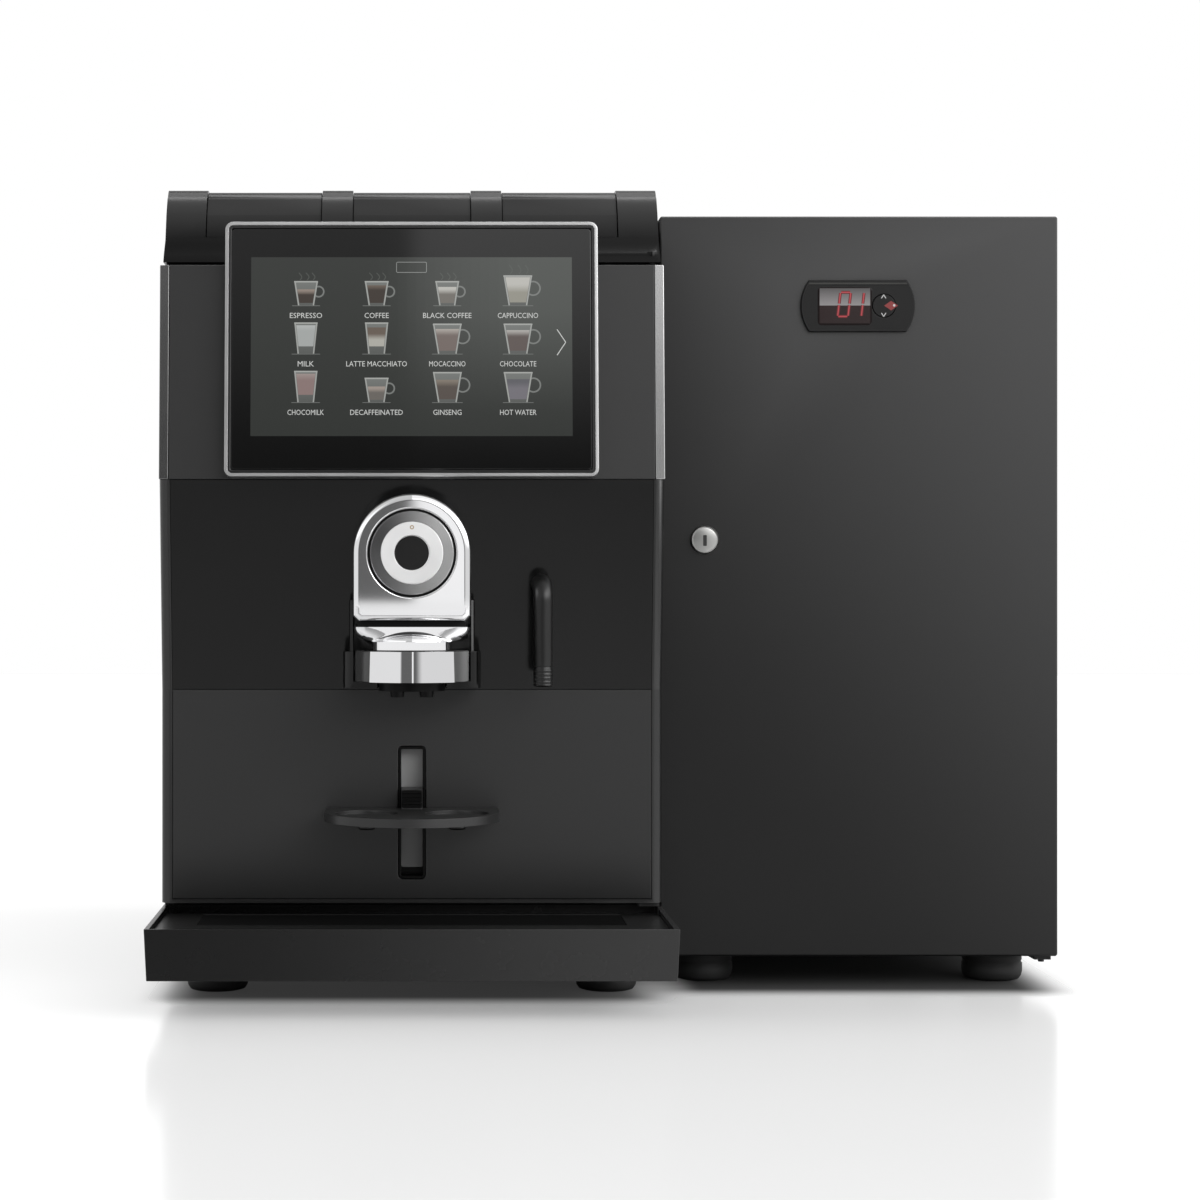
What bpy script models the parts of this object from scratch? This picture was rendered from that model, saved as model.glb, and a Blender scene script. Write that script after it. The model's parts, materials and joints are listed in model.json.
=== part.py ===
"""Table-top hot coffee machine with a milk refrigerator standing at its right side.

Lengths are in metres. X runs to the right, Y to the back and Z up. The pieces are placed in the
machine's own frame, whose origin lies on the floor under the middle of its lower front face, and one
empty shifts that frame so that the world origin is the bottom centre of the whole assembly.
"""

import math

import bmesh
import bpy
import numpy as np
from mathutils import Matrix, Vector

# ---------------------------------------------------------------- fits shared by every piece
GAP = 0.0003  # between faces that rest on each other
RUN = 0.0004  # round a pin, rod or slide
SHEET = 0.0015  # steel sheet
WALL = 0.003  # moulded wall
ROUND = 24  # sides of a round piece

# ---------------------------------------------------------------- machine, overall
MACHINE_WIDTH = 0.353
MACHINE_HEIGHT = 0.574
CHASSIS_DEPTH = 0.470  # lower front face to rear panel
FOOT_HEIGHT = 0.022
FOOT_RADIUS = 0.0218
FOOT_INSET = 0.038  # side wall to foot centre
FRONT_FOOT_Y = 0.024
REAR_FOOT_MARGIN = 0.040

HALF = MACHINE_WIDTH / 2
FLOOR_Z = FOOT_HEIGHT + GAP
FLOOR_TOP = FLOOR_Z + WALL
TUB_TOP = 0.061
CHASSIS_FRONT = 0.025

# ---------------------------------------------------------------- front door
DOOR_BOTTOM = 0.0636
WAIST_Z = 0.214  # below this the door is upright
BEAK_Z = 0.361  # where it stands furthest forward
HOOD_HEIGHT = 0.062  # top of the door to top of the machine
BEAK_OUT = 0.018
TOP_OUT = 0.009
DOOR_BACK = 0.022
DOOR_TOP = MACHINE_HEIGHT - HOOD_HEIGHT
DOOR_EDGE = 0.006  # rounding of the door's front corners
PANEL = 0.003
SEAM = 0.0004
CHEEK = 0.008  # side strips of the two lower sections
TRIM_WIDTH = 0.0065
DOOR_PIN_INSET = 0.0065  # side wall to hinge axis
DOOR_PIN_Y = 0.014
DOOR_PIN_RADIUS = 0.003
DOOR_PIN_X = HALF - DOOR_PIN_INSET

# ---------------------------------------------------------------- hood and lids
END_CAP = 0.029
RIB = 0.0220
CENTRE_LID = 0.085
LID_FRONT_Z = DOOR_TOP + 0.024
LID_BACK = 0.298
LID_AXIS_Y = 0.295
LID_AXIS_Z = MACHINE_HEIGHT - 0.004
LID_SIDE = 0.0005
LID_DROP = 0.0015  # the ribs stand this much prouder
LID_WALL = 0.003
LID_PIN_RADIUS = 0.0015
LID_PIN_REACH = 0.003
HOOD_FOOT = 0.004  # the hood's outer face starts this far above the door
HOOD_TUCK = 0.0005  # its sides stand in from the machine's
BAY_BACK = 0.300
HOOD_BAR = 0.019  # depth of the ribs between the lids

# ---------------------------------------------------------------- display
DISPLAY_WIDTH = 0.259
DISPLAY_HEIGHT = 0.179
DISPLAY_DEPTH = 0.013
DISPLAY_LEAN = math.radians(1.059)  # how much more it leans than the door behind it
DISPLAY_TILT = math.atan2(BEAK_OUT - TOP_OUT, DOOR_TOP - BEAK_Z) + DISPLAY_LEAN
DISPLAY_X = -0.0003
DISPLAY_STAND = 0.0154  # its face stands this far off the door
DISPLAY_ABOVE_ARCH = 0.0127  # the dispensing head's arch ends this far below the display
DISPLAY_CORNER = 0.006
DISPLAY_RIM = 0.0045
GLASS_DEPTH = 0.003
DISPLAY_BOSS = (0.080, 0.0715, 0.0385)  # half width, reach below and above the display's middle

# ---------------------------------------------------------------- dispensing head
ARCH_HALF = 0.0403
ARCH_Z = 0.309
DISPLAY_Z = ARCH_Z + ARCH_HALF + DISPLAY_ABOVE_ARCH + DISPLAY_HEIGHT / 2
ARCH_FRONT = -0.060
ARCH_FOOT = 0.262
ARCH_BEVEL = 0.0042
NECK_HALF = 0.0250
NECK_TOP = 0.251
COLLAR_HALF = 0.0398
COLLAR_TOP = 0.2422
COLLAR_BOTTOM = 0.2215
COLLAR_Y = -0.048
COLLAR_BACK = -0.020
COLLAR_BORE = 0.024
SHROUD_HALF = 0.0475
SHROUD_UPPER_HALF = 0.0435
SHROUD_BOTTOM = 0.2165
SHROUD_UPPER_TOP = 0.277
SHROUD_FRONT = -0.045
SHROUD_BACK = 0.020
DIAL_RECESS = 0.031
DIAL_DEPTH = 0.004
DIAL_RADIUS = 0.0303
DIAL_RAISED = 0.0212
BUTTON_RADIUS = 0.0116
BUTTON_STEM = 0.006
NOZZLE_RADIUS = 0.0045
NOZZLE_BORE = 0.0028
NOZZLE_SPREAD = 0.010
NOZZLE_LOW = 0.2105

# ---------------------------------------------------------------- hot water wand
WAND_X = 0.0900
WAND_RADIUS = 0.0068
WAND_AXIS_Z = 0.2885
WAND_Y = -0.042
WAND_LOW = 0.2175

# ---------------------------------------------------------------- cup shelf and its rail
SLOT_HALF = 0.0095
SLOT_CORNER = 0.0027
SLOT_LOW = 0.0807
SLOT_HIGH = 0.1738
RAIL_RIM = 0.0018
RAIL_BACK = 0.0160
RAIL_FLOOR = 0.0025
SHELF_HALF = 0.0605
SHELF_REACH = 0.095
SHELF_TOP = 0.131
SHELF_THICK = 0.006
WELL_RADIUS = 0.022
WELL_DEPTH = 0.0022
WELL_X = 0.031
WELL_Y = -0.046
KNUCKLE_TOP = 0.1445

# ---------------------------------------------------------------- drip tray
TRAY_HALF = HALF + 0.0004  # at its rim
TRAY_DRAFT = 0.0017  # each side leans in by this towards the floor
TRAY_HALF_LOW = TRAY_HALF - TRAY_DRAFT
TRAY_FRONT = -0.110
TRAY_BACK = 0.023
TRAY_TOP = 0.060
TRAY_BOTTOM = 0.0257
TRAY_WALL = 0.002
TRAY_LEDGE = 0.001
TRAY_COVER_TOP = 0.0565
TRAY_COVER = 0.0025
COVER_BACK = -0.002  # the cover ends in front of the door, so that it lifts out
GRATE_HALF = 0.146
GRATE_FRONT = -0.064
GRATE_BACK = -0.008
GRATE_SUNK = 0.0006
GRATE_RIM = 0.004
GRATE_SLOTS = 18

# ---------------------------------------------------------------- inside the machine
BULKHEAD_Y = 0.150
SHELF_PLATE_Z = MACHINE_HEIGHT - 0.174
STORE_TOP = MACHINE_HEIGHT - 0.021
STORE_FRONT = 0.050
STORE_BACK = 0.280
STORE_WALL = 0.0025
STORE_SIDE = 0.002  # canister to the edge of its bay
HOPPER_MOUTH_Y = 0.105
HOPPER_NECK = 0.016  # radius of the spout under the bean hopper
HOPPER_THROAT = 0.0125
GRINDER_HALF = 0.038
GRINDER_HEIGHT = 0.110
BURR_RADIUS = 0.025
AUGER_RADIUS = 0.0115
AUGER_SHAFT = 0.004
AUGER_FLIGHT = 0.0024  # thickness
AUGER_PITCH = 0.040
AUGER_Z = SHELF_PLATE_Z + 0.018
BOWL_RADIUS = 0.0215
BOWL_Y = 0.047
BOWL_LOW = 0.340
BOWL_HEIGHT = 0.054
WHIPPER_SHAFT = 0.0025
BREW_HALF = 0.034
BREW_LOW = 0.150
BREW_HIGH = 0.285
BREW_BORE = 0.025
PISTON_STEM = 0.006
BIN_HALF = 0.070
BIN_TOP = 0.132
BIN_WALL = 0.0025
BOILER_RADIUS = 0.045
BOILER_TOP = 0.230
BOILER_PLACE = (-0.090, 0.260)
PUMP_PLACE = (0.080, 0.260)
PUMP_MOTOR = (0.050, 0.060, 0.050)  # wide, deep, tall
PUMP_HEAD_RADIUS = 0.018
INLET_CORNER = (0.0265 - HALF, 0.080)  # left edge and lowest point of the mains inlet
INLET_SIZE = (0.050, 0.027, 0.020)  # wide, tall, deep
INLET_WALL = 0.004
FRAME_SHEET = 0.002  # bulkhead and storage shelf
GRINDER_FRONT = 0.062
BREW_FRONT = 0.070

# ---------------------------------------------------------------- locks
SIDE_LOCK_Y = 0.045
SIDE_LOCK_Z = 0.287
SIDE_LOCK_RADIUS = 0.006
SIDE_LOCK_PROUD = 0.003
SIDE_BARREL_RADIUS = SIDE_LOCK_RADIUS - 0.001
SIDE_CAM_REACH = 0.032

# ---------------------------------------------------------------- refrigerator
FRIDGE_WIDTH = 0.2845
FRIDGE_HEIGHT = 0.529
FRIDGE_FRONT = 0.025
FRIDGE_DEPTH = 0.440
FRIDGE_DOOR = 0.020
FRIDGE_SEAL = 0.005
SEAL_INSET = 0.012
SEAL_WIDTH = 0.011
FRIDGE_WALL = 0.030
FRIDGE_SOLE = 0.113  # thickness under the cold compartment
ENGINE_SIDE = 0.012  # walls beside the machinery bay
ENGINE_DEPTH = 0.215
FRIDGE_PIN_INSET = 0.0096
FRIDGE_PIN_RADIUS = 0.00215
FRIDGE_LOCK_INSET = 0.0319
FRIDGE_LOCK_Z = 0.320
FRIDGE_LOCK_RADIUS = 0.0105
FRIDGE_BARREL_RADIUS = FRIDGE_LOCK_RADIUS - 0.0025
FRIDGE_CAM_REACH = 0.0072
FRIDGE_FOOT_INSET = 0.036
FRIDGE_LEFT = HALF + 2 * GAP
FRIDGE_RIGHT = FRIDGE_LEFT + FRIDGE_WIDTH
FRIDGE_TOP = FLOOR_Z + FRIDGE_HEIGHT
CABINET_FRONT = FRIDGE_FRONT + FRIDGE_DOOR + FRIDGE_SEAL
CABINET_BACK = FRIDGE_FRONT + FRIDGE_DEPTH
FRIDGE_PIN_X = FRIDGE_RIGHT - FRIDGE_PIN_INSET
FRIDGE_PIN_Y = FRIDGE_FRONT + FRIDGE_DOOR / 2
THERMOSTAT_X = FRIDGE_LEFT + 0.1412
THERMOSTAT_Z = 0.487
THERMOSTAT_SIZE = (0.081, 0.0365)
THERMOSTAT_PROUD = 0.0025
THERMOSTAT_DEPTH = 0.015
KEYPAD_RADIUS = 0.0080
KEYPAD_SHIFT = 0.0185
COMPRESSOR_RADIUS = 0.045
MILK_HALF = 0.075
MILK_FRONT = 0.120
MILK_BACK = 0.340
MILK_HEIGHT = 0.190
MILK_WALL = 0.0025
MILK_CORNER = 0.015
HOSE_RADIUS = 0.0035
HOSE_Y = 0.205
HOSE_Z = 0.380

ASSEMBLY_SHIFT = Vector((
    -(FRIDGE_RIGHT - HALF - SIDE_LOCK_PROUD) / 2,
    -(TRAY_FRONT + max(CHASSIS_DEPTH, CABINET_BACK)) / 2,
    0.0,
))

# ---------------------------------------------------------------- finishes: colour, roughness, metallic
FINISHES = {
    "painted_steel": ((0.035, 0.035, 0.035), 0.42, 0.0),
    "satin_black": ((0.030, 0.030, 0.030), 0.38, 0.0),
    "gloss_black": ((0.012, 0.012, 0.012), 0.10, 0.0),
    "hood_plastic": ((0.045, 0.045, 0.045), 0.35, 0.0),
    "silver_trim": ((0.520, 0.520, 0.520), 0.28, 1.0),
    "chrome": ((0.800, 0.800, 0.800), 0.06, 1.0),
    "screen_glass": ((0.010, 0.011, 0.010), 0.05, 0.0),
    "silver_plastic": ((0.450, 0.450, 0.450), 0.35, 0.4),
    "grey_plastic": ((0.180, 0.180, 0.180), 0.45, 0.0),
    "matt_black": ((0.018, 0.018, 0.018), 0.60, 0.0),
    "rubber": ((0.010, 0.010, 0.010), 0.75, 0.0),
    "fridge_paint": ((0.045, 0.045, 0.046), 0.40, 0.0),
    "zinc": ((0.420, 0.420, 0.410), 0.35, 1.0),
    "clear_smoke": ((0.160, 0.150, 0.140), 0.15, 0.0),
    "white_plastic": ((0.700, 0.700, 0.690), 0.40, 0.0),
    "stainless": ((0.560, 0.560, 0.550), 0.25, 1.0),
    "brass": ((0.600, 0.440, 0.180), 0.30, 1.0),
    "silicone": ((0.550, 0.550, 0.540), 0.55, 0.0),
}

# turns an outline's own plane to stand across the named axis
ACROSS = {
    "x": Matrix(((0, 0, 1, 0), (1, 0, 0, 0), (0, 1, 0, 0), (0, 0, 0, 1))),
    "y": Matrix(((1, 0, 0, 0), (0, 0, -1, 0), (0, 1, 0, 0), (0, 0, 0, 1))),
    "z": Matrix.Identity(4),
}
AXIS = {"x": Vector((1, 0, 0)), "y": Vector((0, 1, 0)), "z": Vector((0, 0, 1))}


# ================================================================ scene set-up
def clear_scene():
    for obj in list(bpy.data.objects):
        bpy.data.objects.remove(obj, do_unlink=True)


def new_collection(name):
    made = bpy.data.collections.new(name)
    bpy.context.scene.collection.children.link(made)
    return made


def new_empty(name, location):
    empty = bpy.data.objects.new(name, None)
    PARTS.objects.link(empty)
    empty.location = location
    return empty


def new_finish(name, colour, roughness, metallic):
    made = bpy.data.materials.new(name)
    made.use_nodes = True
    shader = made.node_tree.nodes["Principled BSDF"]
    shader.inputs["Base Color"].default_value = (*colour, 1.0)
    shader.inputs["Roughness"].default_value = roughness
    shader.inputs["Metallic"].default_value = metallic
    made.diffuse_color = (*colour, 1.0)
    return made


# ================================================================ modelling tools
def mesh_of(bm, name="shape"):
    bmesh.ops.recalc_face_normals(bm, faces=bm.faces)
    mesh = bpy.data.meshes.new(name)
    bm.to_mesh(mesh)
    bm.free()
    return mesh


def block(low, high, edge=0.0, segments=2):
    """A box between two corners, its edges rounded by edge."""
    low, high = Vector(low), Vector(high)
    size = high - low
    bm = bmesh.new()
    place = Matrix.Translation((low + high) / 2) @ Matrix.Diagonal((*size, 1.0))
    bmesh.ops.create_cube(bm, size=1.0, matrix=place)
    if edge:
        bmesh.ops.bevel(bm, geom=bm.edges[:], offset=edge, segments=segments, profile=0.5, affect="EDGES")
    return mesh_of(bm)


def rod(centre, axis, start, end, radius, radius_end=None, sides=ROUND):
    """A cylinder or cone along an axis, between two places on it."""
    radius_end = radius if radius_end is None else radius_end
    turn = AXIS["z"].rotation_difference(AXIS[axis]).to_matrix().to_4x4()
    middle = Vector(centre)
    index = "xyz".index(axis)
    middle[index] = (start + end) / 2
    bm = bmesh.new()
    bmesh.ops.create_cone(
        bm, cap_ends=True, segments=sides, radius1=radius, radius2=radius_end, depth=end - start,
        matrix=Matrix.Translation(middle) @ turn,
    )
    return mesh_of(bm)


def taken_mesh(obj):
    """The evaluated mesh of a helper object, which is then removed."""
    bpy.context.view_layer.update()
    graph = bpy.context.evaluated_depsgraph_get()
    mesh = bpy.data.meshes.new_from_object(obj.evaluated_get(graph))
    mesh.transform(obj.matrix_world)
    bpy.data.objects.remove(obj, do_unlink=True)
    return mesh


def welded(mesh, distance=1e-6):
    bm = bmesh.new()
    bm.from_mesh(mesh)
    bmesh.ops.remove_doubles(bm, verts=bm.verts, dist=distance)
    return mesh_of(bm)


def prism(points, axis, start, end):
    """A flat outline given thickness along an axis."""
    curve = bpy.data.curves.new("outline", "CURVE")
    curve.dimensions = "2D"
    curve.fill_mode = "BOTH"
    curve.extrude = (end - start) / 2
    spline = curve.splines.new("POLY")
    spline.points.add(len(points) - 1)
    for spot, (a, b) in zip(spline.points, points):
        spot.co = (a, b, 0.0, 1.0)
    spline.use_cyclic_u = True
    helper = bpy.data.objects.new("outline", curve)
    TOOLS.objects.link(helper)
    mesh = welded(taken_mesh(helper))
    mesh.transform(Matrix.Translation(AXIS[axis] * (start + end) / 2) @ ACROSS[axis])
    return mesh


def turned(profile, centre, axis="z", sides=ROUND, ring=False):
    """A profile of (radius, height) points, listed from the top down the outside, turned round an axis."""
    mesh = bpy.data.meshes.new("profile")
    edges = [(i, i + 1) for i in range(len(profile) - 1)]
    if ring:
        edges.append((len(profile) - 1, 0))
    mesh.from_pydata([(r, 0.0, h) for r, h in profile], edges, [])
    helper = bpy.data.objects.new("profile", mesh)
    TOOLS.objects.link(helper)
    screw = helper.modifiers.new("turn", "SCREW")
    screw.steps = screw.render_steps = sides
    screw.use_merge_vertices = True
    screw.merge_threshold = 0.00005
    shape = welded(taken_mesh(helper))
    turn = AXIS["z"].rotation_difference(AXIS[axis]).to_matrix().to_4x4()
    shape.transform(Matrix.Translation(centre) @ turn)
    return shape


def tube(points, radius, resolution=2):
    """A round rod that follows points."""
    curve = bpy.data.curves.new("route", "CURVE")
    curve.dimensions = "3D"
    curve.bevel_depth = radius
    curve.bevel_resolution = resolution
    curve.use_fill_caps = True
    spline = curve.splines.new("POLY")
    spline.points.add(len(points) - 1)
    for spot, point in zip(spline.points, points):
        spot.co = (*point, 1.0)
    helper = bpy.data.objects.new("route", curve)
    TOOLS.objects.link(helper)
    return welded(taken_mesh(helper))


def loft(sections):
    """A skin over closed sections with equal counts of points, capped at both ends."""
    bm = bmesh.new()
    rings = [[bm.verts.new(point) for point in section] for section in sections]
    count = len(rings[0])
    for low, high in zip(rings, rings[1:]):
        for i in range(count):
            j = (i + 1) % count
            bm.faces.new((low[i], low[j], high[j], high[i]))
    bm.faces.new(rings[0])
    bm.faces.new(rings[-1])
    return mesh_of(bm)


def joined(*meshes):
    """Meshes with one skin round them all. Each overlaps the first."""
    base = bpy.data.objects.new("base", meshes[0])
    TOOLS.objects.link(base)
    for mesh in meshes[1:]:
        add_boolean(base, mesh, "UNION")
    return with_tools_removed(base)


def cut(mesh, *cutters):
    """A mesh with cutters taken out of it."""
    base = bpy.data.objects.new("base", mesh)
    TOOLS.objects.link(base)
    for cutter in cutters:
        add_boolean(base, cutter, "DIFFERENCE")
    return with_tools_removed(base)


def add_boolean(base, mesh, operation):
    tool = bpy.data.objects.new("tool", mesh)
    TOOLS.objects.link(tool)
    step = base.modifiers.new(operation.lower(), "BOOLEAN")
    step.operation = operation
    step.solver = "EXACT"
    step.object = tool


def with_tools_removed(base):
    tools = [step.object for step in base.modifiers]
    mesh = taken_mesh(base)
    for tool in tools:
        bpy.data.objects.remove(tool, do_unlink=True)
    return mesh


def piece(name, mesh, finish, pivot=(0.0, 0.0, 0.0)):
    """A finished piece, whose origin is its pivot in the machine's frame."""
    mesh.name = name
    mesh.transform(Matrix.Translation(-Vector(pivot)))
    mesh.shade_smooth()
    mesh.set_sharp_from_angle(angle=math.radians(35))
    mesh.materials.clear()
    mesh.materials.append(MATERIALS[finish])
    obj = bpy.data.objects.new(name, mesh)
    PARTS.objects.link(obj)
    obj.parent = FRAME
    obj.location = pivot
    return obj


# ================================================================ outlines
def arc(centre, radius, start, end, steps):
    """Points on an arc, angles in degrees."""
    angles = np.radians(np.linspace(start, end, steps + 1))
    return [(centre[0] + radius * math.cos(a), centre[1] + radius * math.sin(a)) for a in angles]


def rounded(half_width, half_height, radius, centre=(0.0, 0.0), steps=4):
    """A rectangle with round corners."""
    points = []
    for quarter, (sx, sy) in enumerate(((1, 1), (-1, 1), (-1, -1), (1, -1))):
        corner = (centre[0] + sx * (half_width - radius), centre[1] + sy * (half_height - radius))
        points += arc(corner, radius, 90 * quarter, 90 * quarter + 90, steps)
    return points


def bowed(half_width, half_height, bow, centre=(0.0, 0.0), steps=6):
    """A rectangle whose two ends swell outwards by bow."""
    radius = (half_height ** 2 + bow ** 2) / (2 * bow)
    sweep = math.degrees(math.asin(half_height / radius))
    right = arc((centre[0] + half_width - radius, centre[1]), radius, -sweep, sweep, steps)
    left = arc((centre[0] - half_width + radius, centre[1]), radius, 180 - sweep, 180 + sweep, steps)
    return right + left


def door_front(z):
    """Depth of the door's outer face at a height: straight between its bends."""
    return float(np.interp(z, (DOOR_BOTTOM, WAIST_Z, BEAK_Z, DOOR_TOP), (0.0, 0.0, -BEAK_OUT, -TOP_OUT)))


def door_levels(low, high):
    return [low, *(z for z in (WAIST_Z, BEAK_Z) if low < z < high), high]


def slot_outline(inset=0.0, steps=3):
    """The upright slot that the cup shelf slides in, moved inwards by inset."""
    tall = (SLOT_HIGH - SLOT_LOW) / 2 - inset
    return rounded(SLOT_HALF - inset, tall, SLOT_CORNER - inset, (0.0, (SLOT_LOW + SLOT_HIGH) / 2), steps)


def door_slab(low, high, inset=0.0, thick=PANEL):
    """Side view of a slab that follows the door's outer face."""
    front = [(door_front(z) + inset, z) for z in door_levels(low, high)]
    return front + [(y + thick, z) for y, z in reversed(front)]


def door_solid(low, high, inset, back):
    """Side view from the door's outer face, moved in by inset, to a flat back."""
    front = [(door_front(z) + inset, z) for z in door_levels(low, high)]
    return front + [(back, high), (back, low)]


def hood_outline(drop=0.0):
    """Side view of the hood's outer face from its front foot to its rear foot."""
    top = MACHINE_HEIGHT - drop
    low = DOOR_TOP + HOOD_FOOT
    front = [
        (0.008, low),
        (0.012, low + 0.006),
        (0.023, low + 0.018),
        (0.030 + drop, low + 0.037),
        (0.038 + drop, low + 0.050),
    ]
    crown = arc((0.052, top - 0.012), 0.012, 150, 90, 3)
    rear = arc((CHASSIS_DEPTH - 0.008, top - 0.008), 0.008, 90, 0, 3)
    return front + crown + rear + [(CHASSIS_DEPTH, low)]


def lid_bays():
    """Name, left edge and right edge of each opening in the hood."""
    middle = CENTRE_LID / 2
    side = HALF - END_CAP
    return (
        ("left", -side, -middle - RIB),
        ("centre", -middle, middle),
        ("right", middle + RIB, side),
    )


# ================================================================ machine housing
def make_base_frame():
    tub = cut(
        block((-HALF, CHASSIS_FRONT, FLOOR_Z), (HALF, CHASSIS_DEPTH, TUB_TOP)),
        block(
            (-HALF + WALL, CHASSIS_FRONT + WALL, FLOOR_TOP),
            (HALF - WALL, CHASSIS_DEPTH - WALL, TUB_TOP + 0.01),
        ),
    )
    tongue = block((-HALF, -0.002, FLOOR_Z), (HALF, CHASSIS_FRONT + 0.001, FLOOR_TOP))
    tab_low, tab_high = TRAY_TOP + 0.0007, DOOR_BOTTOM - GAP
    edge = HALF - SHEET - GAP
    tab = block((DOOR_PIN_X - 0.010, 0.005, tab_low), (edge - 0.0002, 0.0265, tab_high))
    riser = block(
        (DOOR_PIN_X - 0.010, CHASSIS_FRONT + 0.0004, 0.050),
        (edge - 0.0002, CHASSIS_FRONT + 0.006, tab_high),
    )
    pin_top = DOOR_BOTTOM + WALL + 0.001
    pin = rod((DOOR_PIN_X, DOOR_PIN_Y, 0), "z", tab_high - 0.001, pin_top, DOOR_PIN_RADIUS)
    piece("base_frame", joined(tub, tongue, riser, tab, pin), "painted_steel")


def make_side_panels():
    low, high = TUB_TOP + GAP, DOOR_TOP
    left = cut(
        block((-HALF, CHASSIS_FRONT, low), (-HALF + SHEET, CHASSIS_DEPTH, high)),
        rod((0, SIDE_LOCK_Y, SIDE_LOCK_Z), "x", -HALF - 0.01, -HALF + 0.01, SIDE_BARREL_RADIUS + RUN),
    )
    right = cut(
        block((HALF - SHEET, CHASSIS_FRONT, low), (HALF, CHASSIS_DEPTH, high)),
        rod((0, HOSE_Y, HOSE_Z), "x", HALF - 0.01, HALF + 0.01, HOSE_RADIUS + RUN),
    )
    piece("side_panel_left", left, "painted_steel")
    piece("side_panel_right", right, "painted_steel")


def make_rear_panel():
    edge = HALF - SHEET - GAP
    sheet = block((-edge, CHASSIS_DEPTH - SHEET, TUB_TOP + GAP), (edge, CHASSIS_DEPTH, DOOR_TOP))
    left, low = INLET_CORNER
    wide, tall, deep = INLET_SIZE
    rim = INLET_WALL
    inlet = block((left, CHASSIS_DEPTH - deep, low), (left + wide, CHASSIS_DEPTH - 0.0005, low + tall))
    socket = block(
        (left + rim, CHASSIS_DEPTH - deep + WALL, low + rim),
        (left + wide - rim, CHASSIS_DEPTH + 0.002, low + tall - rim),
    )
    piece("rear_panel", cut(joined(sheet, inlet), socket), "painted_steel")


def make_inner_frame():
    edge = HALF - WALL - GAP
    wall = block(
        (-edge, BULKHEAD_Y, FLOOR_TOP + GAP), (edge, BULKHEAD_Y + FRAME_SHEET, SHELF_PLATE_Z + 0.001)
    )
    shelf = block((-edge, STORE_FRONT, SHELF_PLATE_Z), (edge, BAY_BACK, SHELF_PLATE_Z + FRAME_SHEET))
    mouth = rod(
        (0, HOPPER_MOUTH_Y, 0), "z", SHELF_PLATE_Z - 0.01, SHELF_PLATE_Z + 0.01, HOPPER_NECK + 0.0005
    )
    piece("inner_frame", cut(joined(wall, shelf), mouth), "zinc")


def make_hood():
    low = DOOR_TOP + HOOD_FOOT
    bar = MACHINE_HEIGHT - HOOD_BAR
    edge = HALF - WALL
    back = CHASSIS_DEPTH - WALL
    shell = prism(hood_outline(), "x", -HALF + HOOD_TUCK, HALF - HOOD_TUCK)
    rim_edge = HALF - HOOD_TUCK - 0.0002
    rim = block(
        (-rim_edge, CHASSIS_FRONT + 0.001, DOOR_TOP + GAP),
        (rim_edge, CHASSIS_DEPTH - HOOD_TUCK - 0.0002, low + 0.002),
    )
    knee = low + 0.027
    inside = block((-edge, CHASSIS_FRONT + 0.004, DOOR_TOP - 0.01), (edge, back, knee))
    upper_inside = block((-edge, CHASSIS_FRONT + 0.011, knee - 0.001), (edge, back, bar))
    rear_inside = block((-edge, BAY_BACK + 0.010, bar - 0.01), (edge, back, MACHINE_HEIGHT - WALL))
    cutters = [inside, upper_inside, rear_inside]
    for _, left, right in lid_bays():
        cutters.append(block((left, -0.010, LID_FRONT_Z), (right, BAY_BACK, MACHINE_HEIGHT + 0.01)))
        cutters.append(rod(
            (0, LID_AXIS_Y, LID_AXIS_Z), "x", left - LID_PIN_REACH - RUN, right + LID_PIN_REACH + RUN,
            LID_PIN_RADIUS + RUN, sides=12,
        ))
    pin = rod((DOOR_PIN_X, DOOR_PIN_Y, 0), "z", DOOR_TOP - WALL - 0.001, low + 0.008, DOOR_PIN_RADIUS)
    piece("top_hood", joined(cut(joined(shell, rim), *cutters), pin), "hood_plastic")


def make_lids():
    low = DOOR_TOP + HOOD_FOOT
    outer = [(y, z) for y, z in hood_outline(LID_DROP) if z > low + 0.03 and y < LID_BACK - 0.1]
    foot_y = outer[0][0] - 0.006
    outer = [(foot_y, LID_FRONT_Z + GAP), *outer, (LID_BACK, MACHINE_HEIGHT - LID_DROP)]
    inner = [(y + LID_WALL, z - LID_WALL * (z > LID_FRONT_Z + 0.025)) for y, z in outer]
    inner[-1] = (LID_BACK, MACHINE_HEIGHT - LID_DROP - LID_WALL)
    outline = outer + inner[::-1]
    for name, left, right in lid_bays():
        shell = prism(outline, "x", left + LID_SIDE, right - LID_SIDE)
        hinge = rod(
            (0, LID_AXIS_Y, LID_AXIS_Z), "x", left - LID_PIN_REACH, right + LID_PIN_REACH,
            LID_PIN_RADIUS, sides=12,
        )
        pivot = ((left + right) / 2, LID_AXIS_Y, LID_AXIS_Z)
        piece(f"hopper_lid_{name}", joined(shell, hinge), "hood_plastic", pivot)


def foot_shape(x, y):
    shares = ((0.0, 1.0), (0.82, 1.0), (0.90, 0.86), (1.0, 0.70), (1.0, 0.12), (0.92, 0.0), (0.0, 0.0))
    profile = [(FOOT_RADIUS * across, FOOT_HEIGHT * up) for across, up in shares]
    return turned(profile, (x, y, 0.0), sides=20)


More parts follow.
